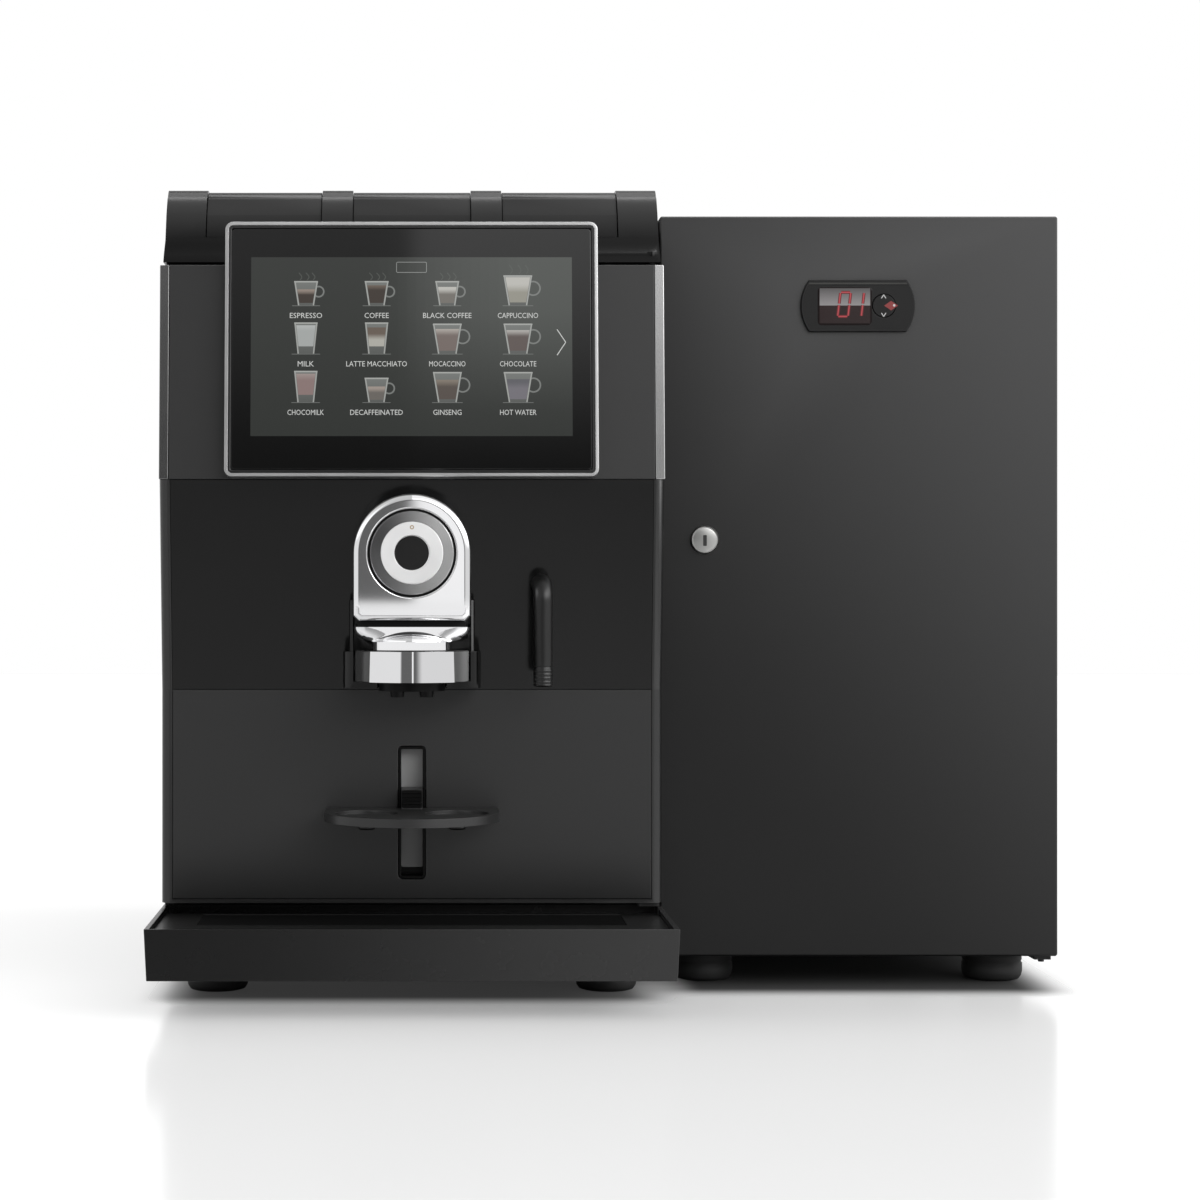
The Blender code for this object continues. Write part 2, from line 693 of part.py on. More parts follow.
def make_feet():
    machine_x = HALF - FOOT_INSET
    fridge_x = (FRIDGE_LEFT + FRIDGE_FOOT_INSET, FRIDGE_RIGHT - FRIDGE_FOOT_INSET)
    fridge_front = CABINET_FRONT + FOOT_RADIUS + 0.001
    places = {
        "machine_foot_front_left": (-machine_x, FRONT_FOOT_Y),
        "machine_foot_front_right": (machine_x, FRONT_FOOT_Y),
        "machine_foot_rear_left": (-machine_x, CHASSIS_DEPTH - REAR_FOOT_MARGIN),
        "machine_foot_rear_right": (machine_x, CHASSIS_DEPTH - REAR_FOOT_MARGIN),
        "fridge_foot_front_left": (fridge_x[0], fridge_front),
        "fridge_foot_front_right": (fridge_x[1], fridge_front),
        "fridge_foot_rear_left": (fridge_x[0], CABINET_BACK - REAR_FOOT_MARGIN),
        "fridge_foot_rear_right": (fridge_x[1], CABINET_BACK - REAR_FOOT_MARGIN),
    }
    for name, (x, y) in places.items():
        piece(name, foot_shape(x, y), "rubber")


# ================================================================ front door
def make_door_shell():
    low, high = DOOR_BOTTOM, DOOR_TOP
    body = prism(door_solid(low, high, 0.0, DOOR_BACK), "x", -HALF, HALF)
    body = with_round_corners(body)
    inner = PANEL + GAP
    face = HALF - CHEEK + GAP
    lip = low + 0.0027
    ahead = -0.05
    above = DOOR_TOP + 0.01
    upper_front = [
        (ahead, BEAK_Z),
        (door_front(BEAK_Z) + inner, BEAK_Z),
        (door_front(DOOR_TOP) + inner, DOOR_TOP),
        (door_front(DOOR_TOP) + inner, above),
        (ahead, above),
    ]
    low_steps = ((door_front(z) + inner, z) for z in (lip, WAIST_Z, BEAK_Z))
    lower_front = [(ahead, lip), *low_steps, (ahead, BEAK_Z)]
    hollow = door_solid(low + WALL, high - WALL, inner + WALL - 0.0003, DOOR_BACK + 0.01)
    pin = DOOR_PIN_RADIUS + RUN
    body = cut(
        body,
        prism(upper_front, "x", -HALF - 0.01, HALF + 0.01),
        prism(lower_front, "x", -face, face),
        prism(hollow, "x", -HALF + WALL, HALF - WALL),
        prism(slot_outline(-GAP), "y", -0.02, DOOR_BACK + 0.01),
        rod((DOOR_PIN_X, DOOR_PIN_Y, 0), "z", DOOR_BOTTOM - 0.01, DOOR_BOTTOM + 0.01, pin),
        rod((DOOR_PIN_X, DOOR_PIN_Y, 0), "z", DOOR_TOP - 0.01, DOOR_TOP + 0.01, pin),
    )
    piece("door_shell", body, "gloss_black", (DOOR_PIN_X, DOOR_PIN_Y, 0.0))


def with_round_corners(mesh):
    """The door's solid with its upright front corners rounded."""
    bm = bmesh.new()
    bm.from_mesh(mesh)
    bmesh.ops.dissolve_limit(bm, angle_limit=0.001, verts=bm.verts, edges=bm.edges)
    chosen = []
    for edge in bm.edges:
        a, b = (vert.co for vert in edge.verts)
        upright = abs(a.x - b.x) < 1e-6 and abs(a.z - b.z) > 0.01
        if upright and max(a.y, b.y) < DOOR_BACK / 2:
            chosen.append(edge)
    bmesh.ops.bevel(bm, geom=chosen, offset=DOOR_EDGE, segments=3, profile=0.5, affect="EDGES")
    return mesh_of(bm)


def make_door_panels():
    pivot = (DOOR_PIN_X, DOOR_PIN_Y, 0.0)
    wide = HALF - TRIM_WIDTH - GAP
    upper = prism(door_slab(BEAK_Z + SEAM / 2, DOOR_TOP - GAP), "x", -wide, wide)
    piece("door_upper_panel", upper, "satin_black", pivot)
    face = HALF - CHEEK
    middle = cut(
        prism(door_slab(WAIST_Z + SEAM / 2, BEAK_Z - SEAM / 2), "x", -face, face),
        rod((WAND_X, 0, WAND_AXIS_Z), "y", -0.05, 0.05, WAND_RADIUS + RUN),
    )
    piece("door_middle_panel", middle, "gloss_black", pivot)
    lower = cut(
        prism(door_slab(DOOR_BOTTOM + 0.003, WAIST_Z - SEAM / 2), "x", -face, face),
        prism(slot_outline(-GAP), "y", -0.02, DOOR_BACK + 0.01),
    )
    piece("door_lower_panel", lower, "satin_black", pivot)
    for side, left in (("left", -HALF), ("right", HALF - TRIM_WIDTH)):
        strip = prism(door_slab(BEAK_Z + SEAM / 2, DOOR_TOP - GAP), "x", left, left + TRIM_WIDTH)
        piece(f"side_trim_{side}", strip, "silver_trim", pivot)


def display_centre():
    return Vector((DISPLAY_X, door_front(DISPLAY_Z) - DISPLAY_STAND, DISPLAY_Z))


def display_matrix():
    """Places a shape made flat about its own centre, facing forward, on the tilted display."""
    return Matrix.Translation(display_centre()) @ Matrix.Rotation(-DISPLAY_TILT, 4, "X")


def make_display():
    pivot = (DOOR_PIN_X, DOOR_PIN_Y, 0.0)
    half_width, half_height = DISPLAY_WIDTH / 2, DISPLAY_HEIGHT / 2
    frame = prism(rounded(half_width, half_height, DISPLAY_CORNER), "y", 0.0, DISPLAY_DEPTH)
    inner = rounded(half_width - DISPLAY_RIM, half_height - DISPLAY_RIM, DISPLAY_CORNER - 0.002)
    frame = cut(frame, prism(inner, "y", -0.01, GLASS_DEPTH + GAP))
    frame.transform(display_matrix())
    wide, below, above = DISPLAY_BOSS
    low, high = DISPLAY_Z - below, DISPLAY_Z + above
    slope = math.tan(DISPLAY_TILT)
    inside = display_centre().y + DISPLAY_DEPTH - 0.002
    behind = [(inside + slope * (z - DISPLAY_Z), z) for z in (low, high)]
    boss = behind + [(door_front(z) - GAP, z) for z in (high, low)]
    piece("display_frame", joined(frame, prism(boss, "x", -wide, wide)), "silver_trim", pivot)
    edge = DISPLAY_RIM + 0.0005
    glass = prism(
        rounded(half_width - edge, half_height - edge, DISPLAY_CORNER - 0.0025), "y", 0.0002, GLASS_DEPTH
    )
    glass.transform(display_matrix())
    piece("display_glass", glass, "screen_glass", pivot)


# ================================================================ dispensing head
def half_round(half_width, centre_y, back, steps=12):
    """Plan view: a round front and straight sides that run back."""
    front = arc((0.0, centre_y), half_width, 180, 360, steps)
    return front + [(half_width, back), (-half_width, back)]


def make_shroud():
    """Gloss housing behind the chrome head: a wide lower body round the collar and an upper one."""
    middle = (SHROUD_BACK + SHROUD_FRONT) / 2
    lower_plan = rounded(SHROUD_HALF, (SHROUD_BACK - SHROUD_FRONT) / 2, 0.008, (0.0, middle))
    lower = prism(lower_plan, "z", SHROUD_BOTTOM, COLLAR_TOP - 0.0005)
    front = SHROUD_FRONT + 0.015
    upper_middle = (SHROUD_BACK + front) / 2
    upper_plan = rounded(SHROUD_UPPER_HALF, (SHROUD_BACK - front) / 2, 0.0025, (0.0, upper_middle), 2)
    upper = prism(upper_plan, "z", COLLAR_TOP - 0.002, SHROUD_UPPER_TOP)
    heights = (SHROUD_BOTTOM - 0.01, WAIST_Z, SHROUD_UPPER_TOP + 0.01)
    behind = [(door_front(z) - GAP, z) for z in heights] + [(0.06, heights[-1]), (0.06, heights[0])]
    collar_plan = half_round(COLLAR_HALF + GAP, COLLAR_Y, COLLAR_BACK + GAP)
    collar_room = prism(collar_plan, "z", COLLAR_BOTTOM - GAP, SHROUD_UPPER_TOP + 0.01)
    arch_room = block(
        (-ARCH_HALF - GAP, -0.10, COLLAR_TOP - 0.0005),
        (ARCH_HALF + GAP, arch_back() + GAP, SHROUD_UPPER_TOP + 0.01),
    )
    mouth = rod((0, COLLAR_Y, 0), "z", SHROUD_BOTTOM - 0.01, COLLAR_BOTTOM, COLLAR_BORE)
    body = cut(joined(lower, upper), prism(behind, "x", -0.1, 0.1), collar_room, arch_room, mouth)
    piece("spout_shroud", body, "gloss_black", (DOOR_PIN_X, DOOR_PIN_Y, 0.0))


def arch_back():
    """The arch ends flat, just in front of the door where the door stands furthest forward behind it."""
    return door_front(ARCH_Z + ARCH_HALF) - GAP


def make_arch():
    back = arch_back()
    outline = arc((0.0, ARCH_Z), ARCH_HALF, 0, 180, 20) + [(-ARCH_HALF, ARCH_FOOT), (ARCH_HALF, ARCH_FOOT)]
    body = prism(outline, "y", ARCH_FRONT, back)
    bm = bmesh.new()
    bm.from_mesh(body)
    bmesh.ops.dissolve_limit(bm, angle_limit=0.001, verts=bm.verts, edges=bm.edges)
    rim = [e for e in bm.edges if all(abs(v.co.y - ARCH_FRONT) < 1e-6 for v in e.verts)
           and not all(v.co.z < ARCH_FOOT + 1e-6 for v in e.verts)]
    bmesh.ops.bevel(bm, geom=rim, offset=ARCH_BEVEL, segments=3, profile=0.5, affect="EDGES")
    body = mesh_of(bm)
    sections = []
    stack = (
        (ARCH_FOOT + 0.004, ARCH_HALF - 0.0012, ARCH_FRONT + 0.0012, back - 0.002),
        (ARCH_FOOT - 0.002, ARCH_HALF - 0.003, ARCH_FRONT + 0.0005, back - 0.004),
        (NECK_TOP + 0.003, NECK_HALF + 0.005, ARCH_FRONT - 0.004, -0.026),
        (NECK_TOP, NECK_HALF, COLLAR_Y - NECK_HALF, -0.032),
        (COLLAR_TOP + GAP, NECK_HALF, COLLAR_Y - NECK_HALF, -0.032),
    )
    for z, half, front, rear in stack:
        deep = (rear - front) / 2
        plan = rounded(half, deep, min(half, deep) * 0.6, (0, (front + rear) / 2))
        sections.append([(x, y, z) for x, y in plan])
    recess = rod((0, 0, ARCH_Z), "y", ARCH_FRONT - 0.01, ARCH_FRONT + DIAL_DEPTH, DIAL_RECESS, sides=40)
    stem = rod((0, 0, ARCH_Z), "y", ARCH_FRONT, ARCH_FRONT + 0.016, BUTTON_STEM + RUN)
    body = cut(joined(body, loft(sections)), recess, stem)
    piece("spout_arch", body, "chrome", (DOOR_PIN_X, DOOR_PIN_Y, 0.0))


def make_collar():
    body = prism(half_round(COLLAR_HALF, COLLAR_Y, COLLAR_BACK, 16), "z", COLLAR_BOTTOM, COLLAR_TOP)
    roof = COLLAR_TOP - WALL
    bore = rod((0, COLLAR_Y, 0), "z", COLLAR_BOTTOM - 0.01, roof, COLLAR_BORE)
    piece("spout_collar", cut(body, bore), "chrome", (DOOR_PIN_X, DOOR_PIN_Y, 0.0))
    plug = rod((0, COLLAR_Y, 0), "z", NOZZLE_LOW + 0.0045, roof - GAP, COLLAR_BORE - 0.001 - GAP)
    low = NOZZLE_LOW
    nozzles, bores = [], []
    for x in (-NOZZLE_SPREAD, NOZZLE_SPREAD):
        centre = (x, COLLAR_Y, 0)
        nozzles.append(rod(centre, "z", low, low + 0.012, NOZZLE_RADIUS, NOZZLE_RADIUS + 0.0015, sides=16))
        bores.append(rod(centre, "z", low - 0.01, low + 0.015, NOZZLE_BORE, sides=12))
    body = cut(joined(plug, *nozzles), *bores)
    piece("outlet_nozzles", body, "matt_black", (DOOR_PIN_X, DOOR_PIN_Y, 0.0))


def make_dial():
    back = DIAL_DEPTH - GAP
    hole = BUTTON_RADIUS + RUN
    raised, low = 0.0012, 0.0004  # how far the two steps of the ring stand out
    profile = [
        (hole, back),
        (hole, -raised),
        (DIAL_RAISED, -raised),
        (DIAL_RAISED, -low),
        (DIAL_RADIUS - 0.001, -low),
        (DIAL_RADIUS, low),
        (DIAL_RADIUS, back),
    ]
    ring = turned(profile, (0, ARCH_FRONT, ARCH_Z), "y", sides=36, ring=True)
    piece("dial_ring", ring, "silver_plastic", (DOOR_PIN_X, DOOR_PIN_Y, 0.0))
    head = rod((0, 0, ARCH_Z), "y", ARCH_FRONT - 0.0008, ARCH_FRONT + 0.0020, BUTTON_RADIUS)
    stem = rod((0, 0, ARCH_Z), "y", ARCH_FRONT + 0.001, ARCH_FRONT + 0.0140, BUTTON_STEM)
    piece("dial_button", joined(head, stem), "gloss_black", (0, ARCH_FRONT, ARCH_Z))


def make_wand():
    bend = 0.012
    start = door_front(WAND_AXIS_Z + WAND_RADIUS) + PANEL
    sweep = arc((WAND_Y + bend, WAND_AXIS_Z - bend), bend, 90, 180, 6)
    path = [(WAND_X, start, WAND_AXIS_Z), *((WAND_X, y, z) for y, z in sweep), (WAND_X, WAND_Y, WAND_LOW)]
    body = tube(path, WAND_RADIUS, 3)
    bore = rod((WAND_X, WAND_Y, 0), "z", WAND_LOW - 0.01, WAND_LOW + 0.015, 0.0035, sides=12)
    piece("hot_water_wand", cut(body, bore), "matt_black", (WAND_X, 0.0, WAND_AXIS_Z))


# ================================================================ cup shelf
def make_shelf_rail():
    body = prism(slot_outline(), "y", 0.0006, RAIL_BACK)
    channel = slot_outline(RAIL_RIM, steps=2)
    body = cut(body, prism(channel, "y", -0.01, RAIL_BACK - RAIL_FLOOR))
    piece("shelf_rail", body, "grey_plastic", (DOOR_PIN_X, DOOR_PIN_Y, 0.0))


def make_cup_shelf():
    front = -SHELF_REACH
    rise = SHELF_REACH * 0.62  # depth of the round front
    radius = (SHELF_HALF ** 2 + rise ** 2) / (2 * rise)
    sweep = math.degrees(math.asin(SHELF_HALF / radius))
    bow = arc((0.0, front + radius), radius, 270 - sweep, 270 + sweep, 16)
    outline = bow + [(SHELF_HALF, -0.004), (-SHELF_HALF, -0.004)]
    plate = prism(outline, "z", SHELF_TOP - SHELF_THICK, SHELF_TOP)
    tail = block(
        (-SLOT_HALF + RAIL_RIM + RUN, -0.014, SHELF_TOP - SHELF_THICK - 0.0015),
        (SLOT_HALF - RAIL_RIM - RUN, RAIL_BACK - RAIL_FLOOR - GAP, KNUCKLE_TOP),
    )
    bosses, wells = [], []
    for x in (-WELL_X, WELL_X):
        centre = (x, WELL_Y, 0)
        bosses.append(rod(centre, "z", SHELF_TOP - SHELF_THICK - 0.004, SHELF_TOP - 0.004, 0.006, sides=16))
        wells.append(rod(centre, "z", SHELF_TOP - WELL_DEPTH, SHELF_TOP + 0.01, WELL_RADIUS))
    body = cut(joined(plate, tail, *bosses), *wells)
    piece("cup_shelf", body, "satin_black", (0.0, 0.0, SHELF_TOP))


# ================================================================ drip tray
def make_drip_tray():
    """Open tub with leaning sides, and a ledge at each side that carries its cover."""
    shape = [
        (-TRAY_HALF_LOW, TRAY_BOTTOM),
        (TRAY_HALF_LOW, TRAY_BOTTOM),
        (TRAY_HALF, TRAY_TOP),
        (-TRAY_HALF, TRAY_TOP),
    ]
    body = prism(shape, "y", TRAY_FRONT, TRAY_BACK)
    side = TRAY_HALF_LOW - TRAY_WALL
    front, back = TRAY_FRONT + TRAY_WALL, TRAY_BACK - TRAY_WALL
    ledge_top = TRAY_COVER_TOP - TRAY_COVER - GAP
    upper = block((-side, front, ledge_top), (side, back, TRAY_TOP + 0.01))
    lower_side = side - TRAY_LEDGE
    lower = block((-lower_side, front, TRAY_BOTTOM + TRAY_WALL), (lower_side, back, TRAY_TOP))
    piece("drip_tray", cut(body, upper, lower), "satin_black", (0.0, TRAY_FRONT, TRAY_BOTTOM))


def make_grate():
    """Lift-out cover of the tray, with its slotted field sunk a little."""
    low = TRAY_COVER_TOP - TRAY_COVER
    half = TRAY_HALF_LOW - TRAY_WALL - GAP
    plate = block((-half, TRAY_FRONT + TRAY_WALL + GAP, low), (half, COVER_BACK, TRAY_COVER_TOP))
    field_low = TRAY_COVER_TOP - GRATE_SUNK
    field = block((-GRATE_HALF, GRATE_FRONT, field_low), (GRATE_HALF, GRATE_BACK, TRAY_COVER_TOP + 0.01))
    pitch = 2 * (GRATE_HALF - GRATE_RIM) / GRATE_SLOTS
    front, back = GRATE_FRONT + GRATE_RIM, GRATE_BACK - GRATE_RIM
    slots = []
    for i in range(GRATE_SLOTS):
        left = -GRATE_HALF + GRATE_RIM + (i + 0.2) * pitch
        slots.append(block((left, front, low - 0.01), (left + 0.6 * pitch, back, low + 0.02)))
    piece("cup_grate", cut(plate, field, *slots), "matt_black", (0.0, TRAY_FRONT, low))


# ================================================================ inside the machine
def make_stores():
    """Bean hopper and the two powder canisters, each under its own lid."""
    floor = SHELF_PLATE_Z + FRAME_SHEET + GAP
    for name, left, right in lid_bays():
        left, right = left + STORE_SIDE, right - STORE_SIDE
        outer = block((left, STORE_FRONT, floor), (right, STORE_BACK, STORE_TOP))
        inner_front, inner_back = STORE_FRONT + STORE_WALL, STORE_BACK - STORE_WALL
        inner_left, inner_right = left + STORE_WALL, right - STORE_WALL
        if name == "centre":
            mouth = HOPPER_MOUTH_Y
            funnel = [
                (inner_front, STORE_TOP + 0.01),
                (inner_front, floor + 0.038),
                (mouth - HOPPER_THROAT - 0.0005, floor + 0.004),
                (mouth + HOPPER_THROAT + 0.0005, floor + 0.004),
                (inner_back, floor + 0.038),
                (inner_back, STORE_TOP + 0.01),
            ]
            neck = rod((0, mouth, 0), "z", floor - 0.008, floor + 0.002, HOPPER_NECK)
            throat = rod((0, mouth, 0), "z", floor - 0.02, floor + 0.01, HOPPER_THROAT)
            body = cut(joined(outer, neck), prism(funnel, "x", inner_left, inner_right), throat)
            piece("bean_hopper", body, "clear_smoke")
            continue
        middle = (left + right) / 2
        body = cut(
            outer,
            block((inner_left, inner_front, floor + STORE_WALL), (inner_right, inner_back, STORE_TOP + 0.01)),
            rod((middle, 0, AUGER_Z), "y", STORE_FRONT - 0.01, STORE_FRONT + 0.01, AUGER_RADIUS + 0.0006),
            rod((middle, 0, AUGER_Z), "y", STORE_BACK - 0.01, STORE_BACK + 0.01, AUGER_SHAFT + RUN),
        )
        piece(f"powder_canister_{name}", body, "white_plastic")
        piece(f"powder_auger_{name}", auger_shape(middle), "white_plastic", (middle, 0.0, AUGER_Z))


def auger_shape(x):
    """A shaft with one screw flight round it, lying along Y."""
    start, end = STORE_FRONT - 0.006, STORE_BACK - 0.012
    turns = (end - start) / AUGER_PITCH
    steps = 10 * round(turns)
    root = 0.0025
    half = AUGER_FLIGHT / 2
    sections = []
    for i in range(steps + 1):
        along = start + half + (end - start - AUGER_FLIGHT) * i / steps
        angle = 2 * math.pi * turns * i / steps
        out = Vector((math.cos(angle), 0.0, math.sin(angle)))
        spots = ((root, -half), (AUGER_RADIUS, -half), (AUGER_RADIUS, half), (root, half))
        sections.append([Vector((x, along + shift, AUGER_Z)) + r * out for r, shift in spots])
    shaft = rod((x, 0, AUGER_Z), "y", start - 0.004, STORE_BACK + 0.004, AUGER_SHAFT, sides=12)
    return joined(shaft, loft(sections))


def make_grinder():
    top = SHELF_PLATE_Z - GAP
    low = top - GRINDER_HEIGHT
    back = BULKHEAD_Y - GAP
    bore_floor = top - 0.055
    body = block((-GRINDER_HALF, GRINDER_FRONT, low), (GRINDER_HALF, back, top), 0.004)
    body = cut(
        body,
        rod((0, HOPPER_MOUTH_Y, 0), "z", bore_floor, top + 0.01, BURR_RADIUS + 0.002),
        rod((0, HOPPER_MOUTH_Y - 0.015, 0), "z", low - 0.01, bore_floor + 0.01, 0.006, sides=12),
    )
    piece("grinder_body", body, "grey_plastic")
    profile = [
        (0.0, 0.042),
        (0.010, 0.042),
        (0.012, 0.020),
        (BURR_RADIUS, 0.014),
        (BURR_RADIUS, GAP),
        (0.0, GAP),
    ]
    burr = turned(profile, (0, HOPPER_MOUTH_Y, bore_floor))
    piece("grinder_burr", burr, "stainless", (0.0, HOPPER_MOUTH_Y, bore_floor))


def make_mixer():
    """Powder mixing bowl under the right canister's mouth, with its whipping wheel."""
    _, left, right = lid_bays()[2]
    x = (left + right) / 2
    outer, low, high = BOWL_RADIUS, BOWL_LOW, BOWL_LOW + BOWL_HEIGHT
    inner = outer - 0.002
    shoulder = high - 0.020  # the cone starts here
    floor = low + WALL
    foot, sump = 0.013, 0.0115  # radii at the bottom, outside and inside
    bearing = WHIPPER_SHAFT + RUN
    profile = [
        (inner, high),
        (outer, high),
        (outer, shoulder),
        (foot, low),
        (bearing, low),
        (bearing, floor),
        (sump, floor),
        (inner, shoulder),
    ]
    cup = turned(profile, (x, BOWL_Y, 0.0), ring=True)
    arm = block((x - 0.010, BOWL_Y + 0.0165, low + 0.012), (x + 0.010, BULKHEAD_Y - GAP, low + 0.026))
    inside = [(0.0, high + 0.01), (inner, high + 0.01), (inner, shoulder), (sump, floor), (0.0, floor)]
    hollow = turned(inside, (x, BOWL_Y, 0.0))
    piece("mixing_bowl", cut(joined(cup, arm), hollow), "white_plastic")
    disc = rod((x, BOWL_Y, 0), "z", floor + GAP, low + 0.007, 0.0100, sides=16)
    shaft = rod((x, BOWL_Y, 0), "z", low - 0.018, low + 0.006, WHIPPER_SHAFT, sides=12)
    vane = block((x - 0.009, BOWL_Y - 0.001, low + 0.006), (x + 0.009, BOWL_Y + 0.001, low + 0.012))
    piece("whipper_wheel", joined(disc, shaft, vane), "white_plastic", (x, BOWL_Y, low))


def make_brew_unit():
    back = BULKHEAD_Y - GAP
    floor = BREW_LOW + 0.015
    body = block((-BREW_HALF, BREW_FRONT, BREW_LOW), (BREW_HALF, back, BREW_HIGH), 0.003)
    body = cut(
        body,
        rod((0, HOPPER_MOUTH_Y, 0), "z", floor, BREW_HIGH + 0.01, BREW_BORE),
        rod((0, HOPPER_MOUTH_Y, 0), "z", BREW_LOW - 0.01, floor + 0.01, PISTON_STEM + RUN),
    )
    piece("brew_unit_frame", body, "grey_plastic")
    head = rod((0, HOPPER_MOUTH_Y, 0), "z", floor + GAP, floor + 0.018, BREW_BORE - RUN)
    stem = rod((0, HOPPER_MOUTH_Y, 0), "z", BREW_LOW - 0.008, floor + 0.002, PISTON_STEM, sides=16)
    piece("brew_piston", joined(head, stem), "stainless", (0.0, HOPPER_MOUTH_Y, floor))


def make_base_units():
    """What stands on the base: coffee grounds bin, boiler and pump."""
    floor = FLOOR_TOP + GAP
    bin_front, bin_back = CHASSIS_FRONT + 0.0055, BULKHEAD_Y - 0.002
    wall = BIN_WALL
    grounds = cut(
        block((-BIN_HALF, bin_front, floor), (BIN_HALF, bin_back, BIN_TOP)),
        block(
            (-BIN_HALF + wall, bin_front + wall, floor + wall),
            (BIN_HALF - wall, bin_back - wall, BIN_TOP + 0.01),
        ),
    )
    piece("grounds_bin", grounds, "matt_black")
    r = BOILER_RADIUS
    profile = [
        (0.0, BOILER_TOP),
        (0.45 * r, BOILER_TOP - 0.003),
        (0.85 * r, BOILER_TOP - 0.014),
        (r, BOILER_TOP - 0.030),
        (r, floor + 0.012),
        (0.9 * r, floor),
        (0.0, floor),
    ]
    piece("boiler", turned(profile, (*BOILER_PLACE, 0.0)), "stainless")
    x, y = PUMP_PLACE
    wide, deep, tall = PUMP_MOTOR
    motor = block((x - wide / 2, y - deep / 2, floor), (x + wide / 2, y + deep / 2, floor + tall), 0.004)
    head = rod((x, y, 0), "z", floor + tall - 0.005, floor + tall + 0.035, PUMP_HEAD_RADIUS)
    piece("water_pump", joined(motor, head), "brass")


def make_side_lock():
    x = -HALF
    y, z = SIDE_LOCK_Y, SIDE_LOCK_Z
    head = rod((0, y, z), "x", x - SIDE_LOCK_PROUD, x - GAP, SIDE_LOCK_RADIUS)
    barrel = rod((0, y, z), "x", x - 0.001, x + 0.009, SIDE_BARREL_RADIUS)
    cam = block((x + 0.006, y - 0.004, z - 0.004), (x + 0.0085, y + 0.004, z + SIDE_CAM_REACH))
    slot = block((x - 0.01, y - 0.0006, z - 0.0035), (x - SIDE_LOCK_PROUD / 2, y + 0.0006, z + 0.0035))
    piece("side_lock", cut(joined(head, barrel, cam), slot), "zinc", (x, y, z))


# ================================================================ refrigerator
def make_cabinet():
    bottom, top = FLOOR_Z, FRIDGE_TOP
    wall = FRIDGE_WALL
    body = block((FRIDGE_LEFT, CABINET_FRONT, bottom), (FRIDGE_RIGHT, CABINET_BACK, top))
    cold = block(
        (FRIDGE_LEFT + wall, CABINET_FRONT - 0.01, bottom + FRIDGE_SOLE),
        (FRIDGE_RIGHT - wall, CABINET_BACK - 1.5 * wall, top - wall),
    )
    engine = block(
        (FRIDGE_LEFT + ENGINE_SIDE, CABINET_BACK - ENGINE_DEPTH, bottom + WALL),
        (FRIDGE_RIGHT - ENGINE_SIDE, CABINET_BACK + 0.01, bottom + FRIDGE_SOLE - wall / 2),
    )
    hose = rod((0, HOSE_Y, HOSE_Z), "x", FRIDGE_LEFT - 0.01, FRIDGE_LEFT + wall + 0.01, HOSE_RADIUS + RUN)
    left, right = FRIDGE_PIN_X - 0.006, FRIDGE_PIN_X + 0.006
    back = CABINET_FRONT + 0.012
    tab_low = bottom - 0.0031
    lower_tab = block((left, FRIDGE_PIN_Y - 0.0045, tab_low), (right, back, bottom - GAP))
    lug = block((left, CABINET_FRONT + 0.001, tab_low), (right, back, bottom + 0.002))
    pin = rod(
        (FRIDGE_PIN_X, FRIDGE_PIN_Y, 0), "z", bottom - 0.0050, bottom + 0.012, FRIDGE_PIN_RADIUS, sides=16
    )
    piece("fridge_cabinet", joined(cut(body, cold, engine, hose), lug, lower_tab, pin), "fridge_paint")


def make_fridge_door():
    bottom, top = FLOOR_Z, FRIDGE_TOP
    back = FRIDGE_FRONT + FRIDGE_DOOR
    body = block((FRIDGE_LEFT, FRIDGE_FRONT, bottom), (FRIDGE_RIGHT, back, top), 0.0012, 1)
    lock_x = FRIDGE_LEFT + FRIDGE_LOCK_INSET
    pin = FRIDGE_PIN_RADIUS + RUN
    body = cut(
        body,
        rod((lock_x, 0, FRIDGE_LOCK_Z), "y", FRIDGE_FRONT - 0.01, back + 0.01, FRIDGE_BARREL_RADIUS + RUN),
        thermostat_body(FRIDGE_FRONT - 0.01, GAP),
        rod((FRIDGE_PIN_X, FRIDGE_PIN_Y, 0), "z", bottom - 0.01, bottom + 0.013, pin, sides=16),
    )
    pivot = (FRIDGE_PIN_X, FRIDGE_PIN_Y, 0.0)
    piece("fridge_door", body, "fridge_paint", pivot)
    low = bottom + SEAL_INSET + 0.02
    left, right, high = FRIDGE_LEFT + SEAL_INSET, FRIDGE_RIGHT - SEAL_INSET, top - SEAL_INSET
    wide = SEAL_WIDTH
    seal = cut(
        block((left, back + GAP, low), (right, CABINET_FRONT - GAP, high)),
        block((left + wide, back - 0.01, low + wide), (right - wide, CABINET_FRONT + 0.01, high - wide)),
    )
    piece("fridge_seal", seal, "rubber", pivot)


def make_fridge_lock():
    x = FRIDGE_LEFT + FRIDGE_LOCK_INSET
    back = FRIDGE_FRONT + FRIDGE_DOOR
    z = FRIDGE_LOCK_Z
    front, radius = FRIDGE_FRONT - 0.003, FRIDGE_LOCK_RADIUS
    head = rod((x, 0, z), "y", front, FRIDGE_FRONT - GAP, radius - 0.0012, radius)
    barrel = rod((x, 0, z), "y", FRIDGE_FRONT - 0.001, back + 0.001, FRIDGE_BARREL_RADIUS)
    cam = block((x - FRIDGE_CAM_REACH, back + GAP, z - 0.004), (x + 0.004, back + 0.0022, z + 0.004))
    key_slot = block((x - 0.0014, front - 0.007, z - 0.0045), (x + 0.0014, FRIDGE_FRONT - 0.001, z + 0.0045))
    piece("fridge_lock", cut(joined(head, barrel, cam), key_slot), "zinc", (x, FRIDGE_FRONT, z))


